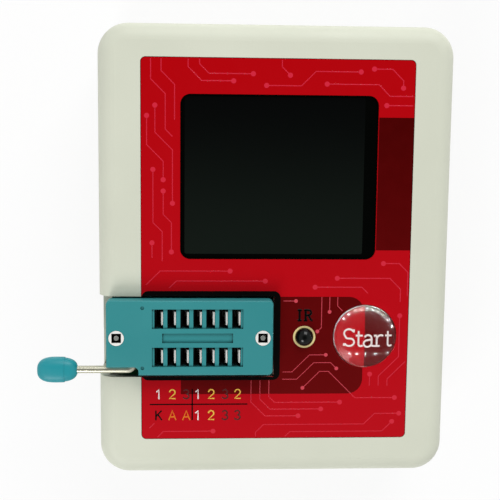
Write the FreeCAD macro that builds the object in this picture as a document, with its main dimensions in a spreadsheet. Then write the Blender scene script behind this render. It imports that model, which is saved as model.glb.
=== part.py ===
"""Handheld component tester: a two-part case with a zero-force test socket, a display and a start button.

The case lies on its back: +X to the right, +Y towards the display end, +Z out of the front face.
The origin is the centre of the flat rear face. All sizes are in millimetres.
"""
import FreeCAD, Part
import os
import re
import Sketcher
from FreeCAD import Vector

# Driving sizes: each one goes into a cell of the sheet, under its own name
SIZES = {
    # case
    "case_width": 70.0,
    "case_length": 90.0,
    "case_height": 24.5,
    "parting_height": 10.0,
    "wall": 2.0,
    "front_wall": 2.0,
    "rear_floor": 2.0,
    "corner_radius": 6.0,
    "front_edge_radius": 3.4,
    "rear_edge_radius": 1.5,
    "lip_height": 1.2,
    "lip_thickness": 0.9,
    "lip_gap": 0.1,
    # overlay label and its recess
    "label_width": 53.4,
    "label_length": 75.7,
    "label_x": 0.2,
    "label_y": 0.5,
    "label_thickness": 0.45,
    "label_recess": 0.5,
    "label_corner_radius": 0.9,
    "label_gap": 0.1,
    # window, lens and display
    "window_width": 38.8,
    "window_length": 32.3,
    "window_x": 0.5,
    "window_y": 15.3,
    "window_corner_radius": 2.0,
    "lens_thickness": 1.0,
    "lens_margin": 1.0,
    "screen_width": 35.0,
    "screen_length": 28.0,
    "screen_x": -0.35,
    "screen_y": 14.2,
    "view_margin": 0.7,
    "lcd_width": 46.7,
    "lcd_length": 34.0,
    "lcd_offset": 2.8,
    "glass_thickness": 0.9,
    "backlight_thickness": 1.6,
    "backlight_rim": 0.6,
    "lcd_clearance": 0.2,
    "lcd_rib_thickness": 1.0,
    "flex_width": 12.0,
    "flex_thickness": 0.2,
    "flex_reach": 1.2,
    "flex_foot": 1.0,
    # circuit board
    "board_side_gap": 1.0,
    "board_end_gap": 1.0,
    "board_thickness": 1.6,
    "board_corner_radius": 2.0,
    "board_screw_inset": 3.5,
    "board_screw_radius": 1.0,
    "board_screw_length": 6.0,
    "board_head_radius": 1.9,
    "board_head_height": 1.2,
    "board_boss_radius": 2.5,
    "screw_fit": 0.05,
    # case screws
    "case_screw_inset": 5.5,
    "case_screw_radius": 1.25,
    "case_screw_length": 12.0,
    "case_head_radius": 2.4,
    "case_head_height": 1.8,
    "counterbore_depth": 5.0,
    "counterbore_gap": 0.2,
    "case_boss_radius": 3.5,
    # zero-force socket
    "socket_length": 32.8,
    "socket_width": 15.0,
    "socket_height": 12.0,
    "socket_proud": 3.0,
    "socket_inset": 1.7,
    "socket_y": -16.1,
    "socket_gap": 0.3,
    "lever_side_gap": 1.0,
    "socket_corner_radius": 0.9,
    "socket_edge_radius": 0.35,
    "socket_base_inset": 0.5,
    "wall_cut_depth": 11.5,
    "lever_slot_depth": 12.0,
    "lever_slot_length": 7.6,
    "pin_pitch": 2.54,
    "row_spacing": 7.62,
    "pin_columns": 7,
    "slot_block_x": 1.53,
    "slot_width": 1.75,
    "slot_length": 3.9,
    "row_recess_margin": 0.45,
    "row_recess_depth": 0.3,
    "plate_recess_length": 13.9,
    "plate_recess_width": 1.9,
    "plate_recess_depth": 0.4,
    "dimple_radius": 0.35,
    "dimple_depth": 0.2,
    "dimple_x": 9.3,
    "dimple_y": 6.0,
    "rivet_spacing": 28.8,
    "rivet_head_radius": 1.5,
    "rivet_head_height": 0.35,
    "rivet_shank_radius": 0.6,
    "rivet_socket": 1.9,
    "rivet_socket_depth": 0.25,
    "rivet_core_radius": 0.45,
    "notch_length": 6.3,
    "notch_width": 1.6,
    # socket lever, cam and slider
    "lever_height": 9.1,
    "lever_axis_x": 11.2,
    "lever_radius": 0.75,
    "lever_bend": 1.2,
    "lever_edge": 0.6,
    "lever_reach": 19.0,
    "shaft_end": 6.3,
    "bearing_gap": 0.05,
    "cam_radius": 1.25,
    "cam_throw": 0.3,
    "cam_length": 3.0,
    "cam_gap": 0.03,
    "tongue_side": 0.9,
    "tongue_end": 0.7,
    "slider_gap": 0.1,
    "slider_floor": 6.5,
    "slider_thickness": 2.3,
    "slider_border": 1.2,
    "slider_side": 0.5,
    "slider_slot_length": 3.4,
    "knob_length": 8.0,
    "knob_width": 5.0,
    "knob_thickness": 4.2,
    "knob_corner_radius": 2.4,
    "knob_edge_radius": 1.7,
    "knob_grip": 4.0,
    # socket contacts
    "blade_x": 0.5,
    "blade_thickness": 0.3,
    "blade_width": 2.6,
    "blade_clearance": 0.25,
    "contact_floor": 2.5,
    "contact_drop": 0.7,
    "pin_width": 0.5,
    "pin_tail": 1.2,
    "pin_hole_radius": 0.45,
    # infrared receiver
    "eye_x": 5.98,
    "eye_y": -16.5,
    "eye_radius": 1.8,
    "eye_hole_gap": 0.1,
    "eye_label_gap": 0.46,
    "eye_rise": 0.3,
    "eye_crown": 1.4,
    "receiver_width": 7.0,
    "receiver_length": 7.2,
    "receiver_thickness": 2.7,
    "receiver_lift": 3.3,
    "receiver_lead": 0.5,
    "receiver_pitch": 2.54,
    "receiver_leads": 3,
    # start button and its switch
    "button_x": 18.2,
    "button_y": -16.4,
    "button_radius": 6.25,
    "button_gap": 0.2,
    "button_rim": 0.35,
    "button_dome": 1.45,
    "button_sink": 0.9,
    "legend_thickness": 0.15,
    "flange_radius": 7.2,
    "flange_thickness": 1.0,
    "flange_gap": 0.2,
    "stem_radius": 1.5,
    "switch_size": 6.0,
    "switch_base_height": 2.9,
    "switch_cover_thickness": 0.3,
    "switch_corner_radius": 0.6,
    "switch_well_radius": 2.3,
    "switch_well_floor": 0.8,
    "plunger_radius": 1.75,
    "plunger_top": 4.3,
    "plunger_flange_radius": 2.1,
    "plunger_flange_height": 0.6,
    "plunger_gap": 0.06,
    "snap_dome_radius": 2.2,
    "snap_dome_rise": 0.6,
    "snap_dome_thickness": 0.1,
    "switch_leg_width": 0.7,
    "switch_leg_thickness": 0.25,
    "switch_leg_reach": 1.2,
    "switch_leg_spacing": 4.5,
    # charging inlet
    "usb_flex_gap": 1.5,
    "usb_width": 7.5,
    "usb_height": 2.8,
    "usb_depth": 5.6,
    "usb_sheet": 0.3,
    "usb_setback": 1.2,
    "usb_opening_gap": 0.4,
    "usb_tongue_width": 4.2,
    "usb_tongue_thickness": 0.7,
    "usb_tongue_length": 3.6,
    "led_gap": 1.4,
    "led_length": 2.0,
    "led_width": 1.25,
    "led_height": 0.8,
    # battery
    "battery_width": 30.0,
    "battery_length": 20.0,
    "battery_height": 5.5,
    "battery_y": 8.0,
    "battery_edge_radius": 1.5,
    "tape_thickness": 0.5,
    "tape_inset": 3.0,
    "battery_rib_thickness": 1.2,
    "battery_rib_height": 4.0,
    "battery_rib_gap": 0.3,
    "lead_radius": 0.6,
    "lead_spacing": 3.0,
    "lead_run": 6.0,
    "lead_bend": 3.0,
    # chips under the board
    "mcu_size": 7.0,
    "mcu_height": 1.4,
    "mcu_x": 6.0,
    "mcu_y": -14.0,
    "mcu_pins_per_side": 8,
    "mcu_sides": 4,
    "mcu_pin_pitch": 0.8,
    "mcu_pin_width": 0.35,
    "mcu_pin_length": 1.0,
    "mcu_pin_thickness": 0.2,
    "regulator_width": 4.5,
    "regulator_length": 2.5,
    "regulator_height": 1.5,
    "regulator_x": 24.0,
    "regulator_y": 2.0,
    "crystal_length": 11.0,
    "crystal_width": 4.5,
    "crystal_height": 3.5,
    "crystal_x": 20.0,
    "crystal_y": -14.0,
    "resistor_length": 2.0,
    "resistor_width": 1.25,
    "resistor_height": 0.5,
    "resistor_pitch": 3.5,
    "resistor_columns": 6,
    "resistor_rows": 2,
    "resistor_x": 8.0,
    "resistor_y": -26.0,
}

# Places and sizes worked out from the driving ones
DERIVED = {
    "front_inside": "case_height - front_wall",
    "recess_floor": "case_height - label_recess",
    "board_top": "case_height + socket_proud - socket_height",
    "board_bottom": "board_top - board_thickness",
    "board_width": "case_width - 2 * wall - 2 * board_side_gap",
    "board_length": "2 * (case_screw_y - case_boss_radius - board_end_gap)",
    "socket_x": "-case_width / 2 + socket_inset + socket_length / 2",
    "usb_y": "screen_y - flex_width / 2 - usb_width / 2 - usb_flex_gap",
    "led_y": "usb_y - usb_width / 2 - led_width / 2 - led_gap",
    "case_screw_x": "case_width / 2 - case_screw_inset",
    "case_screw_y": "case_length / 2 - case_screw_inset",
    "board_screw_x": "board_width / 2 - board_screw_inset",
    "board_screw_y": "board_length / 2 - board_screw_inset",
    "lens_bottom": "recess_floor - lens_thickness",
    "glass_top": "front_inside - lcd_clearance",
    "glass_bottom": "glass_top - glass_thickness",
    "backlight_bottom": "glass_bottom - backlight_thickness",
    "lcd_x": "screen_x + lcd_offset",
    "lcd_right": "lcd_x + lcd_width / 2",
    "opening_right": "socket_x + socket_length / 2 + socket_gap",
    "opening_top": "socket_y + socket_width / 2 + socket_gap",
    "opening_bottom": "socket_y - socket_width / 2 - lever_side_gap",
    "socket_left": "-socket_length / 2",
    "notch_right": "socket_left + notch_length",
    "notch_top": "-socket_width / 2 + notch_width",
    "axis_x": "-lever_axis_x",
    "arm_y": "-socket_width / 2 + lever_edge",
    "slider_travel": "2 * cam_throw",
    "slider_bottom": "slider_floor + slider_gap",
    "cam_top": "lever_height + cam_throw + cam_radius",
    "cam_well_top": "cam_top + cam_throw",
    "window_half": "cam_radius + cam_gap",
    "tongue_left": "axis_x - cam_throw - window_half - tongue_end",
    "tongue_width": "cam_length + 2 * slider_gap + 2 * tongue_side",
    "tongue_top": "lever_height + cam_throw + cam_radius / 2",
    "column_span": "(pin_columns - 1) * pin_pitch",
    "first_column": "slot_block_x - column_span / 2",
    "row_recess_length": "column_span + slot_width + 2 * row_recess_margin",
    "blade_left": "blade_x - blade_thickness / 2",
    "blade_right": "blade_x + blade_thickness / 2",
    "slider_slot_left": "blade_left - slider_travel - blade_clearance",
    "slider_slot_right": "blade_right + blade_clearance",
    "plate_left": "first_column + slider_slot_left - slider_border",
    "plate_right": "first_column + column_span + slider_slot_right + slider_border",
    "plate_width": "row_spacing + slider_slot_length + 2 * slider_side",
    "foot_top": "contact_floor + blade_thickness",
    "blade_top": "socket_height - contact_drop",
    "flare_bottom": "blade_top - 3 * blade_thickness",
    "knob_far": "axis_x - lever_reach",
    "knob_near": "knob_far + knob_length",
    "button_hole_radius": "button_radius + button_gap",
    "cap_bottom": "case_height - button_sink",
    "cap_rim": "case_height + button_rim",
    "cap_top": "cap_rim + button_dome",
    "legend_bottom": "cap_bottom - legend_thickness",
    "flange_top": "front_inside - flange_gap",
    "flange_bottom": "flange_top - flange_thickness",
    "stem_bottom": "board_top + plunger_top",
    "snap_dome_top": "switch_well_floor + snap_dome_rise",
    "receiver_bottom": "board_top + receiver_lift",
    "receiver_top": "receiver_bottom + receiver_thickness",
    "eye_top": "case_height + eye_rise",
    "usb_mouth": "case_width / 2 - usb_setback",
    "battery_bottom": "rear_floor + tape_thickness",
    "battery_middle": "battery_bottom + battery_height / 2",
}

document = FreeCAD.newDocument("component_tester")
sheet = document.addObject("Spreadsheet::Sheet", "sizes")
for row, (alias, size) in enumerate(SIZES.items(), start=1):
    sheet.set(f"A{row}", alias)
    sheet.set(f"B{row}", str(size))
    sheet.setAlias(f"B{row}", alias)
document.recompute()

parts = []
SOCKET_ROWS = ("-row_spacing / 2", "row_spacing / 2")


def spell(expression):
    """Write an expression in cells of the sheet, with derived names replaced by what they stand for."""
    def cell(match):
        word = match.group(0)
        if word in DERIVED:
            return f"({spell(DERIVED[word])})"
        if word in SIZES:
            return f"sizes.{word}"
        return word
    return re.sub(r"[a-z_][a-z0-9_]*", cell, str(expression))


def bind(target, path, expression):
    """Tie a property to an expression."""
    target.setExpression(path, spell(expression))


def measure(expression):
    """The present value of an expression."""
    return float(sheet.evalExpression(spell(expression)))


def place(target, x, y, z):
    """Tie an object's place to three expressions."""
    for axis, expression in zip("xyz", (x, y, z)):
        bind(target, f"Placement.Base.{axis}", expression)


def new_body(label, x="0", y="0", z="0"):
    """A part of its own, drawn about a local origin that sits at the given place."""
    body = document.addObject("PartDesign::Body", label)
    body.Label = label
    place(body, x, y, z)
    parts.append(body)
    return body


def origin_feature(body, role):
    """One of a body's own planes or axes."""
    return next(item for item in body.Origin.OriginFeatures if item.Role == role)


def new_sketch(body, name, plane, level):
    """A sketch on one of the body's planes, moved along the plane's normal."""
    sketch = body.newObject("Sketcher::SketchObject", f"{body.Label}_{name}_sketch")
    sketch.AttachmentSupport = [(origin_feature(body, f"{plane}_Plane"), "")]
    sketch.MapMode = "FlatFace"
    bind(sketch, "AttachmentOffset.Base.z", level)
    return sketch


def pin_point(sketch, element, point, x=None, y=None):
    """Hold a point of a sketch element at the place that the expressions give."""
    for kind, expression in (("DistanceX", x), ("DistanceY", y)):
        if expression is not None:
            constraint = Sketcher.Constraint(kind, element, point, measure(expression))
            index = sketch.addConstraint(constraint)
            bind(sketch, f"Constraints[{index}]", expression)


def path(steps, closed=True):
    """Lines through (x, y) steps; a step (x, y, centre x, centre y, turn) is reached along an arc."""
    def draw(sketch):
        ends = []
        first = 0 if closed else 1
        for number in range(first, len(steps)):
            start = Vector(measure(steps[number - 1][0]), measure(steps[number - 1][1]), 0)
            end = Vector(measure(steps[number][0]), measure(steps[number][1]), 0)
            if len(steps[number]) == 2:
                element = sketch.addGeometry(Part.LineSegment(start, end))
                ends.append((element, 1, 2))
                continue
            centre = Vector(measure(steps[number][2]), measure(steps[number][3]), 0)
            leftwards = steps[number][4] == "left"
            low, high = (start, end) if leftwards else (end, start)
            circle = Part.Circle(centre, Vector(0, 0, 1), (start - centre).Length)
            arc = Part.ArcOfCircle(circle, circle.parameter(low), circle.parameter(high))
            element = sketch.addGeometry(arc)
            ends.append((element, 1, 2) if leftwards else (element, 2, 1))
            pin_point(sketch, element, 3, x=steps[number][2])
        pairs = zip(ends[-1:] + ends[:-1], ends) if closed else zip(ends, ends[1:])
        for (before, _, tail), (after, head, _) in pairs:
            sketch.addConstraint(Sketcher.Constraint("Coincident", before, tail, after, head))
        for (element, _, tail), step in zip(ends, steps[first:]):
            pin_point(sketch, element, tail, step[0], step[1])
        if not closed:
            pin_point(sketch, ends[0][0], ends[0][1], steps[0][0], steps[0][1])
    return draw


def span(left, right, bottom, top):
    """A rectangle between four edges."""
    return path([(left, bottom), (right, bottom), (right, top), (left, top)])


def rectangle(x, y, width, length):
    """A rectangle about a centre."""
    half_x = f"({width}) / 2"
    half_y = f"({length}) / 2"
    return span(f"{x} - {half_x}", f"{x} + {half_x}", f"{y} - {half_y}", f"{y} + {half_y}")


def rounded(x, y, width, length, radius):
    """A rectangle about a centre, with round corners."""
    right = f"{x} + ({width}) / 2"
    left = f"{x} - ({width}) / 2"
    top = f"{y} + ({length}) / 2"
    bottom = f"{y} - ({length}) / 2"
    inner_right = f"{right} - ({radius})"
    inner_left = f"{left} + ({radius})"
    inner_top = f"{top} - ({radius})"
    inner_bottom = f"{bottom} + ({radius})"
    return path([
        (inner_right, bottom),
        (right, inner_bottom, inner_right, inner_bottom, "left"),
        (right, inner_top),
        (inner_right, top, inner_right, inner_top, "left"),
        (inner_left, top),
        (left, inner_top, inner_left, inner_top, "left"),
        (left, inner_bottom),
        (inner_left, bottom, inner_left, inner_bottom, "left"),
    ])


def disc(x, y, radius):
    """A circle about a centre."""
    def draw(sketch):
        centre = Vector(measure(x), measure(y), 0)
        element = sketch.addGeometry(Part.Circle(centre, Vector(0, 0, 1), measure(radius)))
        pin_point(sketch, element, 3, x, y)
        index = sketch.addConstraint(Sketcher.Constraint("Radius", element, measure(radius)))
        bind(sketch, f"Constraints[{index}]", radius)
    return draw


def four_corners(x, y, radius):
    """Four equal circles, mirrored about both middle lines."""
    return [disc(f"{side} * ({x})", f"{end} * ({y})", radius) for side in (-1, 1) for end in (-1, 1)]


def pad(body, name, low, high, *shapes, plane="XY"):
    """Add material between two levels along the plane's axis."""
    level = f"-({high})" if plane == "XZ" else low
    sketch = new_sketch(body, name, plane, level)
    for draw in shapes:
        draw(sketch)
    feature = body.newObject("PartDesign::Pad", f"{body.Label}_{name}")
    feature.Profile = (sketch, [""])
    bind(feature, "Length", f"({high}) - ({low})")
    return feature


def pocket(body, name, low, high, *shapes, plane="XY"):
    """Cut material away between two levels along the plane's axis."""
    level = f"-({low})" if plane == "XZ" else high
    sketch = new_sketch(body, name, plane, level)
    for draw in shapes:
        draw(sketch)
    feature = body.newObject("PartDesign::Pocket", f"{body.Label}_{name}")
    feature.Profile = (sketch, [""])
    bind(feature, "Length", f"({high}) - ({low})")
    return feature


def revolve(body, name, steps):
    """Turn a half outline about the body's upright axis."""
    sketch = new_sketch(body, name, "XZ", "0")
    path(steps)(sketch)
    feature = body.newObject("PartDesign::Revolution", f"{body.Label}_{name}")
    feature.Profile = (sketch, [""])
    feature.ReferenceAxis = (sketch, ["V_Axis"])
    feature.Angle = 360.0
    return feature


def sweep(body, name, profile, profile_plane, profile_level, steps, spine_plane, spine_level):
    """Carry a closed outline along an open path of lines and arcs."""
    spine = new_sketch(body, f"{name}_spine", spine_plane, spine_level)
    path(steps, closed=False)(spine)
    section = new_sketch(body, f"{name}_section", profile_plane, profile_level)
    profile(section)
    feature = body.newObject("PartDesign::AdditivePipe", f"{body.Label}_{name}")
    feature.Profile = (section, [""])
    feature.Spine = (spine, [""])
    return feature


def round_edges(body, name, radius, chosen):
    """Fillet the edges of the body that the test picks."""
    document.recompute()
    base = body.Tip
    names = [f"Edge{i}" for i, edge in enumerate(base.Shape.Edges, start=1) if chosen(edge)]
    feature = body.newObject("PartDesign::Fillet", f"{body.Label}_{name}")
    feature.Base = (base, names)
    bind(feature, "Radius", radius)
    return feature


def edges_at(height):
    """A test for edges that lie flat at one height."""
    level = measure(height)

    def chosen(edge):
        box = edge.BoundBox
        return abs(box.ZMin - level) < 1e-4 and abs(box.ZMax - level) < 1e-4
    return chosen


def repeat(body, feature, count, pitch, axis="X"):
    """Repeat a feature in a line along one of the body's axes."""
    pattern = body.newObject("PartDesign::LinearPattern", f"{feature.Label}_pattern")
    pattern.Originals = [feature]
    pattern.Direction = (origin_feature(body, f"{axis}_Axis"), [""])
    pattern.Mode = "Spacing"
    bind(pattern, "Occurrences", count)
    bind(pattern, "Offset", pitch)
    body.Tip = pattern
    return pattern


def repeat_all(body, count, pitch, axis):
    """Repeat everything the body has so far in a line along one of its axes."""
    document.recompute()
    pattern = repeat(body, body.Tip, count, pitch, axis)
    pattern.TransformMode = "Whole shape"


def make_front_shell():
    """Front half of the case, open towards the rear."""
    shell = new_body("front_shell")
    pad(shell, "block", "parting_height", "case_height",
        rounded("0", "0", "case_width", "case_length", "corner_radius"))
    round_edges(shell, "front_edge", "front_edge_radius", edges_at("case_height"))
    pocket(shell, "cavity", "parting_height", "front_inside",
           rounded("0", "0", "case_width - 2 * wall", "case_length - 2 * wall", "corner_radius - wall"))
    groove = "2 * (wall - lip_thickness - lip_gap)"
    pocket(shell, "lip_groove", "parting_height", "parting_height + lip_height + lip_gap",
           rounded("0", "0", f"case_width - {groove}", f"case_length - {groove}",
                   f"corner_radius - {groove} / 2"))
    pad(shell, "case_bosses", "parting_height", "front_inside",
        *four_corners("case_screw_x", "case_screw_y", "case_boss_radius"))
    pad(shell, "board_bosses", "board_top", "front_inside",
        *four_corners("board_screw_x", "board_screw_y", "board_boss_radius"))
    room_width = "lcd_width + 2 * lcd_clearance"
    room_length = "lcd_length + 2 * lcd_clearance"
    pad(shell, "display_rib", "glass_bottom", "front_inside",
        rectangle("lcd_x", "screen_y", f"{room_width} + 2 * lcd_rib_thickness",
                  f"{room_length} + 2 * lcd_rib_thickness"))
    pocket(shell, "display_room", "backlight_bottom - lcd_clearance", "front_inside",
           rectangle("lcd_x", "screen_y", room_width, room_length))
    pocket(shell, "flex_gap", "glass_bottom", "front_inside",
           rectangle("lcd_right + lcd_clearance + lcd_rib_thickness", "screen_y",
                     "2 * lcd_rib_thickness + 2 * lcd_clearance", "flex_width + 2 * lcd_clearance"))
    pocket(shell, "label_recess", "recess_floor", "case_height",
           rounded("label_x", "label_y", "label_width + 2 * label_gap", "label_length + 2 * label_gap",
                   "label_corner_radius + label_gap"))
    pocket(shell, "lens_seat", "lens_bottom", "recess_floor",
           rounded("window_x", "window_y", "window_width + 2 * lens_margin + 2 * label_gap",
                   "window_length + 2 * lens_margin + 2 * label_gap", "window_corner_radius + lens_margin"))
    pocket(shell, "view_opening", "front_inside", "lens_bottom",
           rectangle("screen_x", "screen_y", "screen_width + 2 * view_margin",
                     "screen_length + 2 * view_margin"))
    pocket(shell, "socket_opening", "case_height - wall_cut_depth", "case_height",
           span("-case_width", "opening_right", "opening_bottom", "opening_top"))
    pocket(shell, "lever_slot", "case_height - lever_slot_depth", "case_height",
           span("-case_width", "-case_width / 2 + wall",
                "opening_bottom", "opening_bottom + lever_slot_length"))
    pocket(shell, "button_hole", "front_inside", "case_height",
           disc("button_x", "button_y", "button_hole_radius"))
    pocket(shell, "eye_hole", "front_inside", "case_height",
           disc("eye_x", "eye_y", "eye_radius + eye_hole_gap"))
    pocket(shell, "case_pilots", "parting_height", "counterbore_depth + case_screw_length + screw_fit",
           *four_corners("case_screw_x", "case_screw_y", "case_screw_radius + screw_fit"))
    pocket(shell, "board_pilots", "board_top",
           "board_bottom + board_screw_length + screw_fit",
           *four_corners("board_screw_x", "board_screw_y", "board_screw_radius + screw_fit"))
    pocket(shell, "usb_opening", "case_width / 2 - wall", "case_width / 2",
           span("usb_y - usb_width / 2 - usb_opening_gap", "usb_y + usb_width / 2 + usb_opening_gap",
                "board_top - usb_opening_gap", "board_top + usb_height + usb_opening_gap"),
           plane="YZ")


def make_rear_shell():
    """Rear half of the case, with the lip that enters the front half."""
    shell = new_body("rear_shell")
    pad(shell, "block", "0", "parting_height",
        rounded("0", "0", "case_width", "case_length", "corner_radius"))
    round_edges(shell, "rear_edge", "rear_edge_radius", edges_at("0"))
    pocket(shell, "cavity", "rear_floor", "parting_height",
           rounded("0", "0", "case_width - 2 * wall", "case_length - 2 * wall", "corner_radius - wall"))
    lip = "2 * (wall - lip_thickness)"
    pad(shell, "lip", "parting_height", "parting_height + lip_height",
        rounded("0", "0", f"case_width - {lip}", f"case_length - {lip}", f"corner_radius - {lip} / 2"),
        rounded("0", "0", "case_width - 2 * wall", "case_length - 2 * wall", "corner_radius - wall"))
    pocket(shell, "lip_reliefs", "parting_height", "parting_height + lip_height",
           *four_corners("case_screw_x", "case_screw_y", "case_boss_radius + lip_gap"))
    pad(shell, "pillars", "0", "parting_height",
        *four_corners("case_screw_x", "case_screw_y", "case_boss_radius"))
    pocket(shell, "counterbores", "0", "counterbore_depth",
           *four_corners("case_screw_x", "case_screw_y", "case_head_radius + counterbore_gap"))
    pocket(shell, "screw_holes", "counterbore_depth", "parting_height",
           *four_corners("case_screw_x", "case_screw_y", "case_screw_radius + counterbore_gap"))
    crib_width = "battery_width + 2 * battery_rib_gap"
    crib_length = "battery_length + 2 * battery_rib_gap"
    pad(shell, "battery_crib", "rear_floor", "rear_floor + battery_rib_height",
        rectangle("0", "battery_y", f"{crib_width} + 2 * battery_rib_thickness",
                  f"{crib_length} + 2 * battery_rib_thickness"),
        rectangle("0", "battery_y", crib_width, crib_length))
    pocket(shell, "lead_gap", "battery_bottom", "rear_floor + battery_rib_height",
           rectangle("battery_width / 2 + battery_rib_gap + battery_rib_thickness / 2", "battery_y",
                     "2 * battery_rib_thickness", "lead_spacing + 6 * lead_radius"))


def make_label_and_lens():
    """Printed film in the front recess, and the window that it frames."""
    label = new_body("overlay_label", z="recess_floor")
    pad(label, "film", "0", "label_thickness",
        rounded("label_x", "label_y", "label_width", "label_length", "label_corner_radius"))
    pocket(label, "window", "0", "label_thickness",
           rounded("window_x", "window_y", "window_width", "window_length", "window_corner_radius"))
    pocket(label, "socket_cut", "0", "label_thickness",
           span("-case_width", "opening_right + label_gap",
                "opening_bottom - label_gap", "opening_top + label_gap"))
    pocket(label, "button_cut", "0", "label_thickness", disc("button_x", "button_y", "button_hole_radius"))
    pocket(label, "eye_cut", "0", "label_thickness", disc("eye_x", "eye_y", "eye_radius + eye_label_gap"))

    lens = new_body("display_lens", z="lens_bottom")
    pad(lens, "sheet", "0", "lens_thickness",
        rounded("window_x", "window_y", "window_width + 2 * lens_margin", "window_length + 2 * lens_margin",
                "window_corner_radius + lens_margin - label_gap"))


def make_display():
    """Display module: glass, backlight tray, foam spacer to the board and its flat cable."""
    glass = new_body("lcd_glass", "lcd_x", "screen_y", "glass_bottom")
    pad(glass, "sheet", "0", "glass_thickness", rectangle("0", "0", "lcd_width", "lcd_length"))

    tray = new_body("lcd_backlight", "lcd_x", "screen_y", "backlight_bottom")
    pad(tray, "tray", "0", "backlight_thickness",
        rounded("0", "0", "lcd_width - backlight_rim", "lcd_length - backlight_rim", "backlight_rim"))

    spacer = new_body("lcd_spacer", "lcd_x", "screen_y", "board_top")
    foam_width = "lcd_width - 4 * backlight_rim"
    foam_length = "lcd_length - 4 * backlight_rim"
    pad(spacer, "foam", "0", "backlight_bottom - board_top",
        rectangle("0", "0", foam_width, foam_length),
        rectangle("0", "0", f"{foam_width} / 2", f"{foam_length} / 2"))

    flex = new_body("lcd_flex", "lcd_right", "screen_y", "board_top")
    drop = "glass_bottom - board_top"
    pad(flex, "strip", "-flex_width / 2", "flex_width / 2",
        path([("-backlight_rim / 2", drop),
              ("0", drop),
              ("0", f"{drop} + flex_thickness"),
              ("flex_reach", f"{drop} + flex_thickness"),
              ("flex_reach", "flex_thickness"),
              ("flex_reach + flex_foot", "flex_thickness"),
              ("flex_reach + flex_foot", "0"),
              ("flex_reach - flex_thickness", "0"),
              ("flex_reach - flex_thickness", f"{drop} - flex_thickness"),
              ("-backlight_rim / 2", f"{drop} - flex_thickness")]),
        plane="XZ")


def make_board():
    """Circuit board hung from the front half by four screws."""
    board = new_body("main_board", z="board_bottom")
    pad(board, "laminate", "0", "board_thickness",
        rounded("0", "0", "board_width", "board_length", "board_corner_radius"))
    pocket(board, "screw_holes", "0", "board_thickness",
           *four_corners("board_screw_x", "board_screw_y", "board_screw_radius + 3 * screw_fit"))
    holes = pocket(board, "pin_holes", "0", "board_thickness",
                   *[disc("socket_x + first_column", f"socket_y + {row}", "pin_hole_radius")
                     for row in SOCKET_ROWS])
    repeat(board, holes, "pin_columns", "pin_pitch")


def make_screws(label, x, y, seat, head_radius, head_height, radius, length):
    """Four pan-head screws that point up, as one group."""
    screws = new_body(label, f"-({x})", f"-({y})", seat)
    slot = f"({head_height}) / 2"
    revolve(screws, "turning", [
        ("0", f"-({head_height}) + {slot}"),
        (f"({radius}) / 2", f"-({head_height}) + {slot}"),
        (f"({radius}) / 2", f"-({head_height})"),
        (head_radius, f"-({head_height})"),
        (head_radius, "0"),
        (radius, "0"),
        (radius, f"({length}) - ({radius})"),
        (f"({radius}) / 3", length),
        ("0", length),
    ])
    repeat_all(screws, "2", f"2 * ({x})", "X")
    repeat_all(screws, "2", f"2 * ({y})", "Y")


def slider_slots():
    """The first slot of each row: room for the contact blade over the slider's travel."""
    left = "first_column + slider_slot_left"
    right = "first_column + slider_slot_right"
    half = "slider_slot_length / 2"
    return [span(left, right, f"{row} - {half}", f"{row} + {half}") for row in SOCKET_ROWS]


def make_socket_base():
    """Lower half of the socket: slider well, contact wells and half of the lever bearing."""
    base = new_body("zif_base", "socket_x", "socket_y", "board_top")
    pad(base, "block", "0", "lever_height",
        rounded("0", "0", "socket_length - 2 * socket_base_inset", "socket_width - 2 * socket_base_inset",
                "socket_corner_radius - socket_edge_radius"))
    pocket(base, "notch", "0", "lever_height",
           span("-socket_length", "notch_right", "-socket_width", "notch_top"))
    pocket(base, "slider_well", "slider_floor", "lever_height",
           rectangle("(plate_left + plate_right + slider_travel) / 2", "0",
                     "plate_right - plate_left + slider_travel + 2 * slider_gap",
                     "plate_width + 2 * slider_gap"))
    pocket(base, "tongue_well", "slider_floor", "lever_height",
           span("tongue_left - slider_gap", "plate_left", "-tongue_width / 2 - slider_gap",
                "tongue_width / 2 + slider_gap"))
    pocket(base, "bearing", "notch_top", "shaft_end + bearing_gap",
           disc("axis_x", "lever_height", "lever_radius + bearing_gap"), plane="XZ")
    pocket(base, "rivet_holes", "0", "lever_height",
           disc("-rivet_spacing / 2", "0", "rivet_shank_radius + bearing_gap"),
           disc("rivet_spacing / 2", "0", "rivet_shank_radius + bearing_gap"))
    wells = pocket(base, "contact_wells", "contact_floor", "slider_floor", *slider_slots())
    repeat(base, wells, "pin_columns", "pin_pitch")
    holes = pocket(base, "pin_holes", "0", "contact_floor",
                   *[rectangle("first_column", row, "blade_thickness + 2 * bearing_gap",
                               "pin_width + 2 * bearing_gap") for row in SOCKET_ROWS])
    repeat(base, holes, "pin_columns", "pin_pitch")


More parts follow.
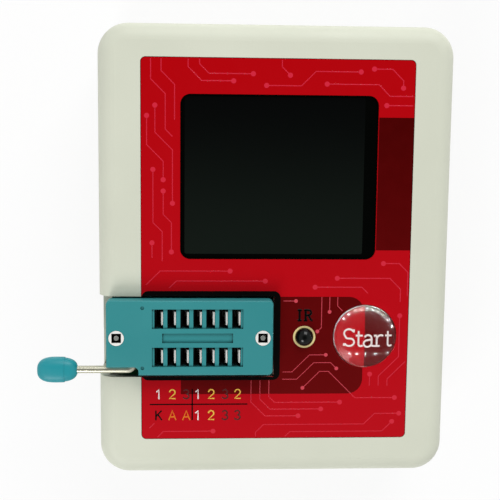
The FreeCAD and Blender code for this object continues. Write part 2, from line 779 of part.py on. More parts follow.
def make_socket_cover():
    """Top plate of the socket, with the slots that the leads go into."""
    cover = new_body("zif_cover", "socket_x", "socket_y", "board_top")
    pad(cover, "plate", "lever_height", "socket_height",
        rounded("0", "0", "socket_length", "socket_width", "socket_corner_radius"))
    pocket(cover, "notch", "lever_height", "socket_height",
           path([("-socket_length", "-socket_width"),
                 ("notch_right", "-socket_width"),
                 ("notch_right", "notch_top - socket_corner_radius"),
                 ("notch_right - socket_corner_radius", "notch_top",
                  "notch_right - socket_corner_radius", "notch_top - socket_corner_radius", "left"),
                 ("-socket_length", "notch_top")]))
    round_edges(cover, "top_edge", "socket_edge_radius", edges_at("socket_height"))
    slots = pocket(cover, "slots", "lever_height", "socket_height",
                   *[rectangle("first_column", row, "slot_width", "slot_length") for row in SOCKET_ROWS])
    repeat(cover, slots, "pin_columns", "pin_pitch")
    pocket(cover, "row_recesses", "socket_height - row_recess_depth", "socket_height",
           *[rectangle("slot_block_x", row, "row_recess_length", "slot_length") for row in SOCKET_ROWS])
    pocket(cover, "plate_recess", "socket_height - plate_recess_depth", "socket_height",
           rectangle("slot_block_x", "0", "plate_recess_length", "plate_recess_width"))
    pocket(cover, "dimples", "socket_height - dimple_depth", "socket_height",
           disc("-dimple_x", "dimple_y", "dimple_radius"), disc("-dimple_x", "-dimple_y", "dimple_radius"))
    pocket(cover, "cam_well", "lever_height", "cam_well_top",
           span("tongue_left - slider_gap", "plate_left", "-tongue_width / 2 - slider_gap",
                "tongue_width / 2 + slider_gap"))
    pocket(cover, "bearing", "notch_top - socket_corner_radius", "shaft_end + bearing_gap",
           disc("axis_x", "lever_height", "lever_radius + bearing_gap"), plane="XZ")
    pocket(cover, "rivet_holes", "lever_height", "socket_height",
           disc("-rivet_spacing / 2", "0", "rivet_shank_radius + bearing_gap"),
           disc("rivet_spacing / 2", "0", "rivet_shank_radius + bearing_gap"))
    pocket(cover, "rivet_seats", "socket_height - rivet_head_height", "socket_height",
           disc("-rivet_spacing / 2", "0", "rivet_head_radius + bearing_gap"),
           disc("rivet_spacing / 2", "0", "rivet_head_radius + bearing_gap"))


def make_socket_slider():
    """Plate that the cam pushes sideways, with a slot round each contact blade."""
    slider = new_body("zif_slider", "socket_x", "socket_y", "board_top")
    top = "slider_bottom + slider_thickness"
    pad(slider, "plate", "slider_bottom", top,
        rectangle("(plate_left + plate_right) / 2", "0", "plate_right - plate_left", "plate_width"))
    pad(slider, "tongue", "slider_bottom", "tongue_top",
        span("tongue_left", "plate_left - slider_travel - slider_gap",
             "-tongue_width / 2", "tongue_width / 2"))
    pad(slider, "neck", "slider_bottom", top,
        span("plate_left - slider_travel - 2 * slider_gap", "plate_left + slider_gap",
             "-tongue_width / 2", "tongue_width / 2"))
    pocket(slider, "cam_window", "slider_bottom", "tongue_top",
           rectangle("axis_x - cam_throw", "0", "2 * window_half", "cam_length + 2 * slider_gap"))
    pocket(slider, "shaft_relief", "lever_height - lever_radius - slider_gap", "tongue_top",
           span("axis_x - lever_radius - slider_travel - slider_gap", "axis_x + lever_radius + slider_gap",
                "-tongue_width", "tongue_width"))
    slots = pocket(slider, "slots", "slider_bottom", top, *slider_slots())
    repeat(slider, slots, "pin_columns", "pin_pitch")


def make_socket_contacts():
    """Two rows of contacts: a pin through the board and a flared spring blade beside the slot."""
    contacts = new_body("zif_contacts", "socket_x", "socket_y", "board_top")
    heel = "first_column - blade_thickness / 2"
    left = "first_column + blade_left"
    right = "first_column + blade_right"
    for number, row in enumerate(SOCKET_ROWS):
        pad(contacts, f"pin_{number}", "-board_thickness - pin_tail", "foot_top",
            rectangle("first_column", row, "blade_thickness", "pin_width"))
        pad(contacts, f"blade_{number}", f"{row} - blade_width / 2", f"{row} + blade_width / 2",
            path([(heel, "contact_floor"),
                  (right, "contact_floor"),
                  (right, "flare_bottom"),
                  (f"{right} + blade_thickness / 2", "blade_top"),
                  (f"{left} + blade_thickness / 2", "blade_top"),
                  (left, "flare_bottom"),
                  (left, "foot_top"),
                  (heel, "foot_top")]),
            plane="XZ")
    repeat_all(contacts, "pin_columns", "pin_pitch", "X")


def make_socket_rivets():
    """Two rivets through cover and base."""
    rivets = new_body("zif_rivets", "socket_x - rivet_spacing / 2", "socket_y", "board_top")
    pad(rivets, "shank", "bearing_gap", "socket_height - rivet_head_height / 2",
        disc("0", "0", "rivet_shank_radius"))
    pad(rivets, "head", "socket_height - rivet_head_height", "socket_height",
        disc("0", "0", "rivet_head_radius"))
    pocket(rivets, "head_socket", "socket_height - rivet_socket_depth", "socket_height",
           rectangle("0", "0", "rivet_socket", "rivet_socket"))
    pad(rivets, "core", "socket_height - rivet_socket_depth", "socket_height - rivet_socket_depth / 3",
        disc("0", "0", "rivet_core_radius"))
    repeat_all(rivets, "2", "rivet_spacing", "X")


def make_socket_lever():
    """Bent rod with its cam, and the knob on its end."""
    lever = new_body("zif_lever", "socket_x", "socket_y", "board_top")
    pad(lever, "cam", "-cam_length / 2", "cam_length / 2",
        disc("axis_x - cam_throw", "lever_height + cam_throw", "cam_radius"), plane="XZ")
    sweep(lever, "rod", disc("axis_x", "lever_height", "lever_radius"), "XZ", "-shaft_end",
          [("axis_x", "shaft_end"),
           ("axis_x", "arm_y + lever_bend"),
           ("axis_x - lever_bend", "arm_y", "axis_x - lever_bend", "arm_y + lever_bend", "right"),
           ("knob_near - knob_grip", "arm_y")],
          "XY", "lever_height")

    knob = new_body("zif_lever_knob", "socket_x + knob_far + knob_length / 2", "socket_y + arm_y",
                    "board_top + lever_height")
    pad(knob, "oval", "-knob_thickness / 2", "knob_thickness / 2",
        rounded("0", "0", "knob_length", "knob_width", "knob_corner_radius"))
    document.recompute()
    flat = [edges_at("knob_thickness / 2"), edges_at("-knob_thickness / 2")]
    round_edges(knob, "soft_edge", "knob_edge_radius", lambda edge: any(test(edge) for test in flat))
    pocket(knob, "rod_hole", "knob_length / 2 - knob_grip - bearing_gap", "knob_length / 2",
           disc("0", "0", "lever_radius + bearing_gap / 5"), plane="YZ")


def make_receiver():
    """Infrared receiver that looks out through the front, on three bent leads."""
    receiver = new_body("ir_receiver", "eye_x", "eye_y")
    pad(receiver, "package", "receiver_bottom", "receiver_top",
        rounded("0", "0", "receiver_width", "receiver_length", "receiver_lead"))
    revolve(receiver, "eye", [
        ("0", "receiver_top - receiver_lead"),
        ("eye_radius", "receiver_top - receiver_lead"),
        ("eye_radius", "eye_top"),
        ("0", "eye_top + eye_crown", "0",
         "eye_top + eye_crown - (eye_radius * eye_radius + eye_crown * eye_crown) / (2 * eye_crown)", "left"),
    ])

    leads = new_body("ir_leads", "eye_x", "eye_y - receiver_length / 2", "board_top")
    height = "receiver_lift + receiver_thickness / 2"
    pad(leads, "lead", "-receiver_pitch - receiver_lead / 2", "-receiver_pitch + receiver_lead / 2",
        path([("0", height),
              ("0", f"{height} + receiver_lead"),
              ("-3 * receiver_lead", f"{height} + receiver_lead"),
              ("-3 * receiver_lead", "0"),
              ("-2 * receiver_lead", "0"),
              ("-2 * receiver_lead", height)]),
        plane="YZ")
    repeat_all(leads, "receiver_leads", "receiver_pitch", "X")


def make_button():
    """Clear cap over a printed disc, on a flanged base whose stem meets the switch."""
    cap = new_body("start_button", "button_x", "button_y")
    crown = "(button_radius * button_radius + button_dome * button_dome) / (2 * button_dome)"
    revolve(cap, "dome", [
        ("0", "cap_bottom"),
        ("button_radius", "cap_bottom"),
        ("button_radius", "cap_rim"),
        ("0", "cap_top", "0", f"cap_top - {crown}", "left"),
    ])

    legend = new_body("start_legend", "button_x", "button_y")
    pad(legend, "card", "legend_bottom", "cap_bottom", disc("0", "0", "button_radius - button_gap"))

    base = new_body("start_button_base", "button_x", "button_y")
    revolve(base, "spool", [
        ("0", "stem_bottom"),
        ("stem_radius", "stem_bottom"),
        ("stem_radius", "flange_bottom"),
        ("flange_radius", "flange_bottom"),
        ("flange_radius", "flange_top"),
        ("button_radius", "flange_top"),
        ("button_radius", "legend_bottom"),
        ("0", "legend_bottom"),
    ])


def make_switch():
    """Tact switch under the button: tray, metal lid, plunger, snap dome and four legs."""
    tray = new_body("switch_base", "button_x", "button_y", "board_top")
    pad(tray, "tray", "0", "switch_base_height",
        rounded("0", "0", "switch_size", "switch_size", "switch_corner_radius"))
    pocket(tray, "well", "switch_well_floor", "switch_base_height", disc("0", "0", "switch_well_radius"))

    lid = new_body("switch_cover", "button_x", "button_y", "board_top")
    lid_top = "switch_base_height + switch_cover_thickness"
    pad(lid, "plate", "switch_base_height", lid_top,
        rounded("0", "0", "switch_size", "switch_size", "switch_corner_radius"),
        disc("0", "0", "plunger_radius + plunger_gap"))

    plunger = new_body("switch_plunger", "button_x", "button_y", "board_top")
    revolve(plunger, "turning", [
        ("0", "snap_dome_top"),
        ("plunger_flange_radius", "snap_dome_top"),
        ("plunger_flange_radius", "snap_dome_top + plunger_flange_height"),
        ("plunger_radius", "snap_dome_top + plunger_flange_height"),
        ("plunger_radius", "plunger_top"),
        ("0", "plunger_top"),
    ])

    dome = new_body("switch_dome", "button_x", "button_y", "board_top")
    revolve(dome, "disc", [
        ("0", "snap_dome_top - snap_dome_thickness"),
        ("snap_dome_radius - snap_dome_thickness", "switch_well_floor"),
        ("snap_dome_radius", "switch_well_floor"),
        ("0", "snap_dome_top"),
    ])

    legs = new_body("switch_legs", "button_x", "button_y", "board_top")
    for side in (-1, 1):
        outer = f"{side} * (switch_size / 2 + switch_leg_reach)"
        inner = f"{side} * (switch_size / 2)"
        low, high = (outer, inner) if side < 0 else (inner, outer)
        for end in (-1, 1):
            middle = f"{end} * switch_leg_spacing / 2"
            pad(legs, f"leg_{side + 1}_{end + 1}", "0", "switch_leg_thickness",
                span(low, high, f"{middle} - switch_leg_width / 2", f"{middle} + switch_leg_width / 2"))


def make_charging_inlet():
    """Charging inlet at the board's right edge, and its indicator."""
    shell = new_body("usb_shell", "usb_mouth - usb_depth", "usb_y", "board_top")
    pad(shell, "sleeve", "0", "usb_depth",
        rounded("0", "usb_height / 2", "usb_width", "usb_height", "usb_height / 4"), plane="YZ")
    pocket(shell, "mouth", "usb_sheet", "usb_depth",
           rounded("0", "usb_height / 2", "usb_width - 2 * usb_sheet", "usb_height - 2 * usb_sheet",
                   "usb_height / 4 - usb_sheet"), plane="YZ")

    tongue = new_body("usb_tongue", "usb_mouth - usb_depth + usb_sheet", "usb_y", "board_top")
    pad(tongue, "blade", "0", "usb_tongue_length",
        rectangle("0", "usb_height / 2 + usb_sheet", "usb_tongue_width", "usb_tongue_thickness"), plane="YZ")

    led = new_body("charge_led", "board_width / 2 - led_length", "led_y", "board_top")
    pad(led, "chip", "0", "led_height", rounded("0", "0", "led_length", "led_width", "led_height / 4"))


def make_battery():
    """Pouch cell on a foam strip in the rear half, with its two wires up to the board."""
    cell = new_body("battery_cell", "0", "battery_y", "battery_bottom")
    pad(cell, "pouch", "0", "battery_height", rectangle("0", "0", "battery_width", "battery_length"))
    round_edges(cell, "soft_edges", "battery_edge_radius", lambda edge: edge.BoundBox.XLength > 1)

    tape = new_body("battery_tape", "0", "battery_y", "rear_floor")
    pad(tape, "strip", "0", "tape_thickness",
        rectangle("0", "0", "battery_width - 2 * tape_inset", "battery_length - 2 * tape_inset"))

    leads = new_body("battery_leads", "battery_width / 2", "battery_y")
    for number, side in enumerate((-1, 1)):
        y = f"{side} * lead_spacing / 2"
        sweep(leads, f"wire_{number}", disc(y, "battery_middle", "lead_radius"), "YZ", "0",
              [("0", "battery_middle"),
               ("lead_run", "battery_middle"),
               ("lead_run + lead_bend", "battery_middle + lead_bend",
                "lead_run", "battery_middle + lead_bend", "left"),
               ("lead_run + lead_bend", "board_bottom")],
              "XZ", f"-({y})")


def make_chips():
    """Chips and small parts on the rear side of the board."""
    mcu = new_body("mcu_chip", "mcu_x", "mcu_y", "board_bottom - mcu_height")
    pad(mcu, "package", "0", "mcu_height", rounded("0", "0", "mcu_size", "mcu_size", "mcu_pin_width"))

    pins = new_body("mcu_pins", "mcu_x", "mcu_y", "board_bottom - mcu_pin_thickness")
    first = "-(mcu_pins_per_side - 1) * mcu_pin_pitch / 2"
    pad(pins, "pin", "0", "mcu_pin_thickness",
        span(f"{first} - mcu_pin_width / 2", f"{first} + mcu_pin_width / 2",
             "mcu_size / 2", "mcu_size / 2 + mcu_pin_length"))
    repeat_all(pins, "mcu_pins_per_side", "mcu_pin_pitch", "X")
    document.recompute()
    ring = pins.newObject("PartDesign::PolarPattern", "mcu_pins_ring")
    ring.TransformMode = "Whole shape"
    ring.Axis = (origin_feature(pins, "Z_Axis"), [""])
    ring.Angle = 360.0
    bind(ring, "Occurrences", "mcu_sides")
    pins.Tip = ring

    regulator = new_body("regulator_chip", "regulator_x", "regulator_y", "board_bottom - regulator_height")
    pad(regulator, "package", "0", "regulator_height",
        rectangle("0", "0", "regulator_width", "regulator_length"))

    can = new_body("crystal", "crystal_x", "crystal_y", "board_bottom - crystal_height")
    pad(can, "can", "0", "crystal_height",
        rounded("0", "0", "crystal_length", "crystal_width", "crystal_width / 2.1"))

    resistors = new_body("chip_resistors", "resistor_x", "resistor_y", "board_bottom - resistor_height")
    pad(resistors, "chip", "0", "resistor_height", rectangle("0", "0", "resistor_length", "resistor_width"))
    repeat_all(resistors, "resistor_columns", "resistor_pitch", "X")
    repeat_all(resistors, "resistor_rows", "resistor_pitch", "Y")


def check_document():
    """Stop if any object failed, any part is empty or broken, or a cut removed nothing."""
    for item in document.Objects:
        if any(word in item.State for word in ("Invalid", "Error")):
            raise RuntimeError(f"{item.Label} failed: {item.State}")
        if item.TypeId == "PartDesign::Pocket" and item.Shape.Volume > item.BaseFeature.Shape.Volume - 1e-6:
            raise RuntimeError(f"{item.Label} cuts nothing")
    for part in parts:
        if part.Shape.isNull() or not part.Shape.isValid():
            raise RuntimeError(f"{part.Label} has no valid shape")


def main():
    """Model every part, check them and write one file for each."""
    make_front_shell()
    make_rear_shell()
    make_label_and_lens()
    make_display()
    make_board()
    make_screws("case_screws", "case_screw_x", "case_screw_y", "counterbore_depth", "case_head_radius",
                "case_head_height", "case_screw_radius", "case_screw_length")
    make_screws("board_screws", "board_screw_x", "board_screw_y", "board_bottom", "board_head_radius",
                "board_head_height", "board_screw_radius", "board_screw_length")
    make_socket_base()
    make_socket_cover()
    make_socket_slider()
    make_socket_contacts()
    make_socket_rivets()
    make_socket_lever()
    make_receiver()
    make_button()
    make_switch()
    make_charging_inlet()
    make_battery()
    make_chips()
    document.recompute()
    check_document()
    os.makedirs("parts", exist_ok=True)
    for part in parts:
        part.Shape.exportStep(f"parts/{part.Label}.step")
        print(part.Label, len(part.Shape.Solids), "solids,", round(part.Shape.Volume, 2), "mm3")


main()
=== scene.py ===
"""Looks of the handheld component tester: finishes, printed label, button lens, knob, camera and studio."""
from math import cos, pi, radians, sin

import bpy
from mathutils import Euler, Matrix, Vector


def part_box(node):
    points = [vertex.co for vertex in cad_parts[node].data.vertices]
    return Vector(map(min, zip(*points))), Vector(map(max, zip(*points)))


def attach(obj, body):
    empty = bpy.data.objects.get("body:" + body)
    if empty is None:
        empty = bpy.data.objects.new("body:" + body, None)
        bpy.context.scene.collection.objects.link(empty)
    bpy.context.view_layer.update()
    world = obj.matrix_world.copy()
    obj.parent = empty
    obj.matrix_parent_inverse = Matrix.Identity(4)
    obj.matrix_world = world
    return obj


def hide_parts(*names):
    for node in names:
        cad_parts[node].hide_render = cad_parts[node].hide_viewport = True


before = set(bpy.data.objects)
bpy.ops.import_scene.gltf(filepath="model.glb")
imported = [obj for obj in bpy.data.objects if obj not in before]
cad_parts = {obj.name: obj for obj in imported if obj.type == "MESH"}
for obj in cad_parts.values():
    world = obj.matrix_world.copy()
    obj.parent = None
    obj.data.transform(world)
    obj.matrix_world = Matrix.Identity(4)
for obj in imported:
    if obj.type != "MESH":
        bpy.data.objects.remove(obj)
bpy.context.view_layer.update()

MM = 0.001
INK = 0.012 * MM                 # height of a printed ink film
LAYER = INK * 0.4                # each ink lies a little above the one it covers
CUT_REACH = 2 * MM               # height of a cutter that goes right through a print
BISECT_REACH = 0.0001 * MM       # a corner nearer to a cut than this counts as lying on it
SMOOTH_ANGLE = radians(40)       # faces that turn more sharply than this keep their edge
FACE_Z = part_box("front_shell")[1][2]
PARTING_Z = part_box("front_shell")[0][2]
COVER_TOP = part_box("zif_cover")[1][2]
LABEL_LOW, LABEL_HIGH = (Vector(corner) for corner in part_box("overlay_label"))
LENS_LOW, LENS_HIGH = (Vector(corner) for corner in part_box("display_lens"))
CAP_LOW, CAP_HIGH = (Vector(corner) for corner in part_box("start_button"))
KNOB_LOW, KNOB_HIGH = (Vector(corner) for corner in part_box("zif_lever_knob"))

# Levels of the inks on the label, from the lowest up
FIELD_LEVEL = LABEL_HIGH.z
TRACE_LEVEL = FIELD_LEVEL + LAYER
TEXT_LEVEL = FIELD_LEVEL + 2 * LAYER

# The clear cap: its dome is cut from a ball
CAP_MIDDLE = (CAP_LOW + CAP_HIGH) / 2
CAP_RADIUS = (CAP_HIGH.x - CAP_LOW.x) / 2
DOME_RISE = 1.45 * MM            # rise of the dome above its rim
BALL_RADIUS = (CAP_RADIUS ** 2 + DOME_RISE ** 2) / (2 * DOME_RISE)
BALL_MIDDLE = Vector((CAP_MIDDLE.x, CAP_MIDDLE.y, CAP_HIGH.z - BALL_RADIUS))


def srgb(red, green, blue):
    """A colour given as it shows on screen, 0 to 255, as linear light."""
    def linear(value):
        value = value / 255
        return value / 12.92 if value <= 0.04045 else ((value + 0.055) / 1.055) ** 2.4
    return (linear(red), linear(green), linear(blue), 1.0)


# Building blocks of the shaders

def set_input(links, socket, value):
    """Give a socket a fixed value, or link it to another node's output."""
    if isinstance(value, bpy.types.NodeSocket):
        links.new(value, socket)
    else:
        socket.default_value = value


def add_math(nodes, links, operation, *values):
    """The result of one operation on fixed numbers or other nodes' outputs."""
    node = nodes.new("ShaderNodeMath")
    node.operation = operation
    for socket, value in zip(node.inputs, values):
        set_input(links, socket, value)
    return node.outputs["Value"]


def add_ramp(nodes, links, value, start, end):
    """A node that turns a value into 0 at the start and 1 at the end."""
    ramp = nodes.new("ShaderNodeMapRange")
    ramp.inputs["From Min"].default_value = start
    ramp.inputs["From Max"].default_value = end
    links.new(value, ramp.inputs["Value"])
    return ramp


def add_noise(nodes, links, detail):
    """Noise on Object coordinates."""
    place = nodes.new("ShaderNodeTexCoord")
    noise = nodes.new("ShaderNodeTexNoise")
    noise.inputs["Detail"].default_value = detail
    links.new(place.outputs["Object"], noise.inputs["Vector"])
    return noise


def object_axis(nodes, links, axis):
    """One Object coordinate of the shaded point."""
    place = nodes.new("ShaderNodeTexCoord")
    split = nodes.new("ShaderNodeSeparateXYZ")
    links.new(place.outputs["Object"], split.inputs["Vector"])
    return split.outputs[axis]


def mix_colours(nodes, links, factor, first, second):
    """A colour between two others, each of them fixed or another node's output."""
    mix = nodes.new("ShaderNodeMix")
    mix.data_type = "RGBA"
    links.new(factor, mix.inputs["Factor"])
    set_input(links, mix.inputs["A"], first)
    set_input(links, mix.inputs["B"], second)
    return mix.outputs["Result"]


def mix_shaders(nodes, links, factor, first, second):
    """Put a blend of two shaders on the material's surface."""
    mix = nodes.new("ShaderNodeMixShader")
    links.new(factor, mix.inputs["Fac"])
    links.new(first, mix.inputs[1])
    links.new(second, mix.inputs[2])
    links.new(mix.outputs["Shader"], nodes["Material Output"].inputs["Surface"])


# Shader groups that several finishes share

def new_group(name, inputs, outputs):
    """An empty shader group with named number sockets."""
    group = bpy.data.node_groups.new(name, "ShaderNodeTree")
    for socket in inputs:
        group.interface.new_socket(socket, in_out="INPUT", socket_type="NodeSocketFloat")
    for socket in outputs:
        group.interface.new_socket(socket, in_out="OUTPUT", socket_type="NodeSocketFloat")
    inlet = group.nodes.new("NodeGroupInput")
    outlet = group.nodes.new("NodeGroupOutput")
    return group, inlet, outlet


def make_grain_group():
    """Fine spark-eroded grain of a mould: a height for bump and a faint tone."""
    group, inlet, outlet = new_group("moulded_grain", ["Scale", "Mottle Scale"], ["Height", "Tone"])
    links = group.links
    fine = add_noise(group.nodes, links, detail=4.0)
    fine.inputs["Roughness"].default_value = 0.65
    broad = add_noise(group.nodes, links, detail=5.0)
    links.new(inlet.outputs["Scale"], fine.inputs["Scale"])
    links.new(inlet.outputs["Mottle Scale"], broad.inputs["Scale"])
    links.new(fine.outputs["Fac"], outlet.inputs["Height"])
    links.new(broad.outputs["Fac"], outlet.inputs["Tone"])
    return group


def make_smudge_group():
    """Handling marks: gloss that wanders between two roughness values."""
    group, inlet, outlet = new_group("handling_smudges", ["Scale", "Polished", "Dull"], ["Roughness"])
    links = group.links
    clouds = add_noise(group.nodes, links, detail=6.0)
    spread = add_ramp(group.nodes, links, clouds.outputs["Fac"], start=0.3, end=0.7)
    links.new(inlet.outputs["Scale"], clouds.inputs["Scale"])
    links.new(inlet.outputs["Polished"], spread.inputs["To Min"])
    links.new(inlet.outputs["Dull"], spread.inputs["To Max"])
    links.new(spread.outputs["Result"], outlet.inputs["Roughness"])
    return group


def make_crevice_group():
    """Shade that gathers in gaps and slots: 0 in a deep gap, 1 on an open face."""
    group, inlet, outlet = new_group("crevice_shade", ["Reach"], ["Open"])
    links = group.links
    hollow = group.nodes.new("ShaderNodeAmbientOcclusion")
    hollow.samples = 8
    spread = add_ramp(group.nodes, links, hollow.outputs["AO"], start=0.25, end=0.7)
    links.new(inlet.outputs["Reach"], hollow.inputs["Distance"])
    links.new(spread.outputs["Result"], outlet.inputs["Open"])
    return group


GRAIN = make_grain_group()
SMUDGE = make_smudge_group()
CREVICE = make_crevice_group()


# Kinds of material

SEAM_CORE = 0.08 * MM            # half width of the case's seam at full shade
SEAM_EDGE = 0.16 * MM            # half width at which the shade is gone
MOTTLE_SWING = 0.22              # how much of the painted light's drift along a label its print mottle makes up


def new_material(name):
    """A material with its Principled shader, nodes and links."""
    material = bpy.data.materials.new(name)
    material.use_nodes = True
    nodes = material.node_tree.nodes
    return material, nodes["Principled BSDF"], nodes, material.node_tree.links


def add_group(nodes, group, **values):
    """Place a shared group in a material and set its inputs."""
    node = nodes.new("ShaderNodeGroup")
    node.node_tree = group
    for socket, value in values.items():
        node.inputs[socket.replace("_", " ")].default_value = value
    return node


def add_gloss(nodes, links, shader, gloss, scale):
    """Roughness that wanders between a polished and a dull value."""
    polished, dull = gloss
    smudge = add_group(nodes, SMUDGE, Scale=scale, Polished=polished, Dull=dull)
    links.new(smudge.outputs["Roughness"], shader.inputs["Roughness"])


def add_bump(nodes, links, shader, height, strength, distance):
    """Raise the surface a little by a height."""
    bump = nodes.new("ShaderNodeBump")
    bump.inputs["Strength"].default_value = strength
    bump.inputs["Distance"].default_value = distance
    links.new(height, bump.inputs["Height"])
    links.new(bump.outputs["Normal"], shader.inputs["Normal"])


def seam_mask(nodes, links):
    """0 on the hairline where the two halves of the case meet, 1 away from it."""
    above = add_math(nodes, links, "SUBTRACT", object_axis(nodes, links, "Z"), PARTING_Z)
    away = add_math(nodes, links, "ABSOLUTE", above)
    return add_ramp(nodes, links, away, SEAM_CORE, SEAM_EDGE).outputs["Result"]


def moulded_plastic(name, dark, light, gloss, grain, specular=0.5, gap_shade=None, seam_shade=None):
    """Moulded plastic: a tone mottled between two screen colours, grained surface, wandering gloss.

    The gloss is a polished and a dull roughness. The grain is a scale and a depth in millimetres.
    """
    material, shader, nodes, links = new_material(name)
    grain_scale, grain_depth = grain
    pattern = add_group(nodes, GRAIN, Scale=grain_scale, Mottle_Scale=45.0)
    colour = mix_colours(nodes, links, pattern.outputs["Tone"], srgb(*dark), srgb(*light))
    if gap_shade:
        crevice = add_group(nodes, CREVICE, Reach=4 * MM)
        colour = mix_colours(nodes, links, crevice.outputs["Open"], srgb(*gap_shade), colour)
    if seam_shade:
        colour = mix_colours(nodes, links, seam_mask(nodes, links), srgb(*seam_shade), colour)
    links.new(colour, shader.inputs["Base Color"])
    shader.inputs["Specular IOR Level"].default_value = specular
    add_gloss(nodes, links, shader, gloss, scale=70.0)
    add_bump(nodes, links, shader, pattern.outputs["Height"], strength=0.35, distance=grain_depth * MM)
    return material


def plated_metal(name, dark, light, gloss, streak_scale=900.0, metallic=1.0):
    """Plated metal with fine drawn streaks between two screen colours."""
    material, shader, nodes, links = new_material(name)
    place = nodes.new("ShaderNodeTexCoord")
    stretch = nodes.new("ShaderNodeMapping")
    stretch.inputs["Scale"].default_value = (0.12, 1.0, 1.0)
    streaks = nodes.new("ShaderNodeTexNoise")
    streaks.inputs["Scale"].default_value = streak_scale
    streaks.inputs["Detail"].default_value = 5.0
    links.new(place.outputs["Object"], stretch.inputs["Vector"])
    links.new(stretch.outputs["Vector"], streaks.inputs["Vector"])
    colour = mix_colours(nodes, links, streaks.outputs["Fac"], srgb(*dark), srgb(*light))
    links.new(colour, shader.inputs["Base Color"])
    shader.inputs["Metallic"].default_value = metallic
    add_gloss(nodes, links, shader, gloss, scale=260.0)
    add_bump(nodes, links, shader, streaks.outputs["Fac"], strength=0.2, distance=0.02 * MM)
    return material


def printed_film(name, upper, lower):
    """Ink under a glossy film: a screen colour that drifts along the label as painted light, with faint print
    mottle.
    """
    material, shader, nodes, links = new_material(name)
    # Painted light: the colour drifts from the lower screen colour to the upper one along the label.
    painted_light_drift = add_ramp(nodes, links, object_axis(nodes, links, "Y"), LABEL_LOW.y, LABEL_HIGH.y)
    pattern = add_group(nodes, GRAIN, Mottle_Scale=420.0)
    mottle = add_math(nodes, links, "MULTIPLY_ADD", pattern.outputs["Tone"], MOTTLE_SWING, -MOTTLE_SWING / 2)
    blend = add_math(nodes, links, "ADD", painted_light_drift.outputs["Result"], mottle)
    links.new(mix_colours(nodes, links, blend, srgb(*lower), srgb(*upper)), shader.inputs["Base Color"])
    shader.inputs["Specular IOR Level"].default_value = 0.15
    add_gloss(nodes, links, shader, (0.10, 0.20), scale=55.0)
    add_bump(nodes, links, shader, pattern.outputs["Tone"], strength=0.03, distance=0.02 * MM)
    return material


def smoked_window():
    """Smoked window: near black, with painted light that brings out a faint green towards its lower edge."""
    material, shader, nodes, links = new_material("smoked_window")
    # Painted light: the window grows lighter and greener towards its lower edge.
    painted_light_rise = add_ramp(nodes, links, object_axis(nodes, links, "Y"), LENS_LOW.y, LENS_HIGH.y)
    painted_light_rise.interpolation_type = "SMOOTHSTEP"
    colour = mix_colours(nodes, links, painted_light_rise.outputs["Result"], srgb(19, 25, 21), srgb(5, 6, 6))
    links.new(colour, shader.inputs["Base Color"])
    shader.inputs["Specular IOR Level"].default_value = 0.15
    add_gloss(nodes, links, shader, (0.05, 0.14), scale=60.0)
    return material


def clear_acrylic():
    """Polished clear acrylic that mirrors little face on and lets the lamps reach the print under it."""
    material, shader, nodes, links = new_material("clear_acrylic")
    shader.inputs["Base Color"].default_value = (0.98, 0.97, 0.97, 1.0)
    shader.inputs["Transmission Weight"].default_value = 1.0
    shader.inputs["IOR"].default_value = 1.49
    shader.inputs["Specular Tint"].default_value = (0.3, 0.3, 0.3, 1.0)
    add_gloss(nodes, links, shader, (0.09, 0.13), scale=240.0)
    rays = nodes.new("ShaderNodeLightPath").outputs
    passing = add_math(nodes, links, "MAXIMUM", rays["Is Shadow Ray"], rays["Is Diffuse Ray"])
    through = nodes.new("ShaderNodeBsdfTransparent")
    mix_shaders(nodes, links, passing, shader.outputs["BSDF"], through.outputs["BSDF"])
    return material


# Finishes of this tester

IVORY = moulded_plastic("ivory_abs", (204, 207, 190), (217, 220, 203), (0.42, 0.58), (2600.0, 0.05),
                        specular=0.35, gap_shade=(40, 40, 34), seam_shade=(128, 128, 112))
TEAL = moulded_plastic("teal_socket_resin", (38, 126, 130), (54, 146, 149), (0.40, 0.58), (2200.0, 0.06),
                       specular=0.35, gap_shade=(4, 18, 20))
KNOB_TEAL = moulded_plastic("teal_knob_resin", (18, 132, 143), (34, 153, 163), (0.38, 0.55), (1500.0, 0.06),
                            specular=0.4)
BLACK_RESIN = moulded_plastic("black_receiver_epoxy", (5, 6, 6), (10, 12, 11), (0.06, 0.16), (900.0, 0.004),
                              specular=0.25)
MASK_BLACK = moulded_plastic("black_window_mask", (2, 3, 2), (4, 5, 4), (0.25, 0.35), (600.0, 0.002),
                             specular=0.03)
DARK_PLASTIC = moulded_plastic("dark_switch_plastic", (22, 22, 23), (34, 34, 36), (0.4, 0.6), (2000.0, 0.03))
CHIP_EPOXY = moulded_plastic("chip_epoxy", (24, 24, 26), (36, 36, 38), (0.5, 0.7), (4000.0, 0.02))
SOLDER_MASK = moulded_plastic("green_solder_mask", (16, 74, 40), (26, 98, 54), (0.2, 0.4), (800.0, 0.02))
WHITE_PLASTIC = moulded_plastic("white_tray_plastic", (208, 208, 205), (224, 224, 221), (0.4, 0.6),
                                (1800.0, 0.03))
FOAM = moulded_plastic("white_foam_tape", (205, 203, 196), (226, 224, 218), (0.8, 0.95), (1400.0, 0.2),
                       specular=0.1)
AMBER_FLEX = moulded_plastic("amber_flat_cable", (150, 88, 22), (182, 116, 34), (0.15, 0.3), (700.0, 0.01))
RED_WIRE = moulded_plastic("red_wire_jacket", (150, 12, 14), (182, 22, 22), (0.35, 0.5), (1200.0, 0.02))
PALE_EPOXY = moulded_plastic("pale_led_epoxy", (224, 222, 200), (240, 238, 220), (0.15, 0.3), (900.0, 0.01))
EYE_CREAM = moulded_plastic("eye_ring_cream", (226, 204, 138), (240, 222, 160), (0.4, 0.6), (1500.0, 0.01))
BRIGHT_METAL = plated_metal("tin_plate", (240, 239, 233), (254, 253, 250), (0.45, 0.6), metallic=0.45)
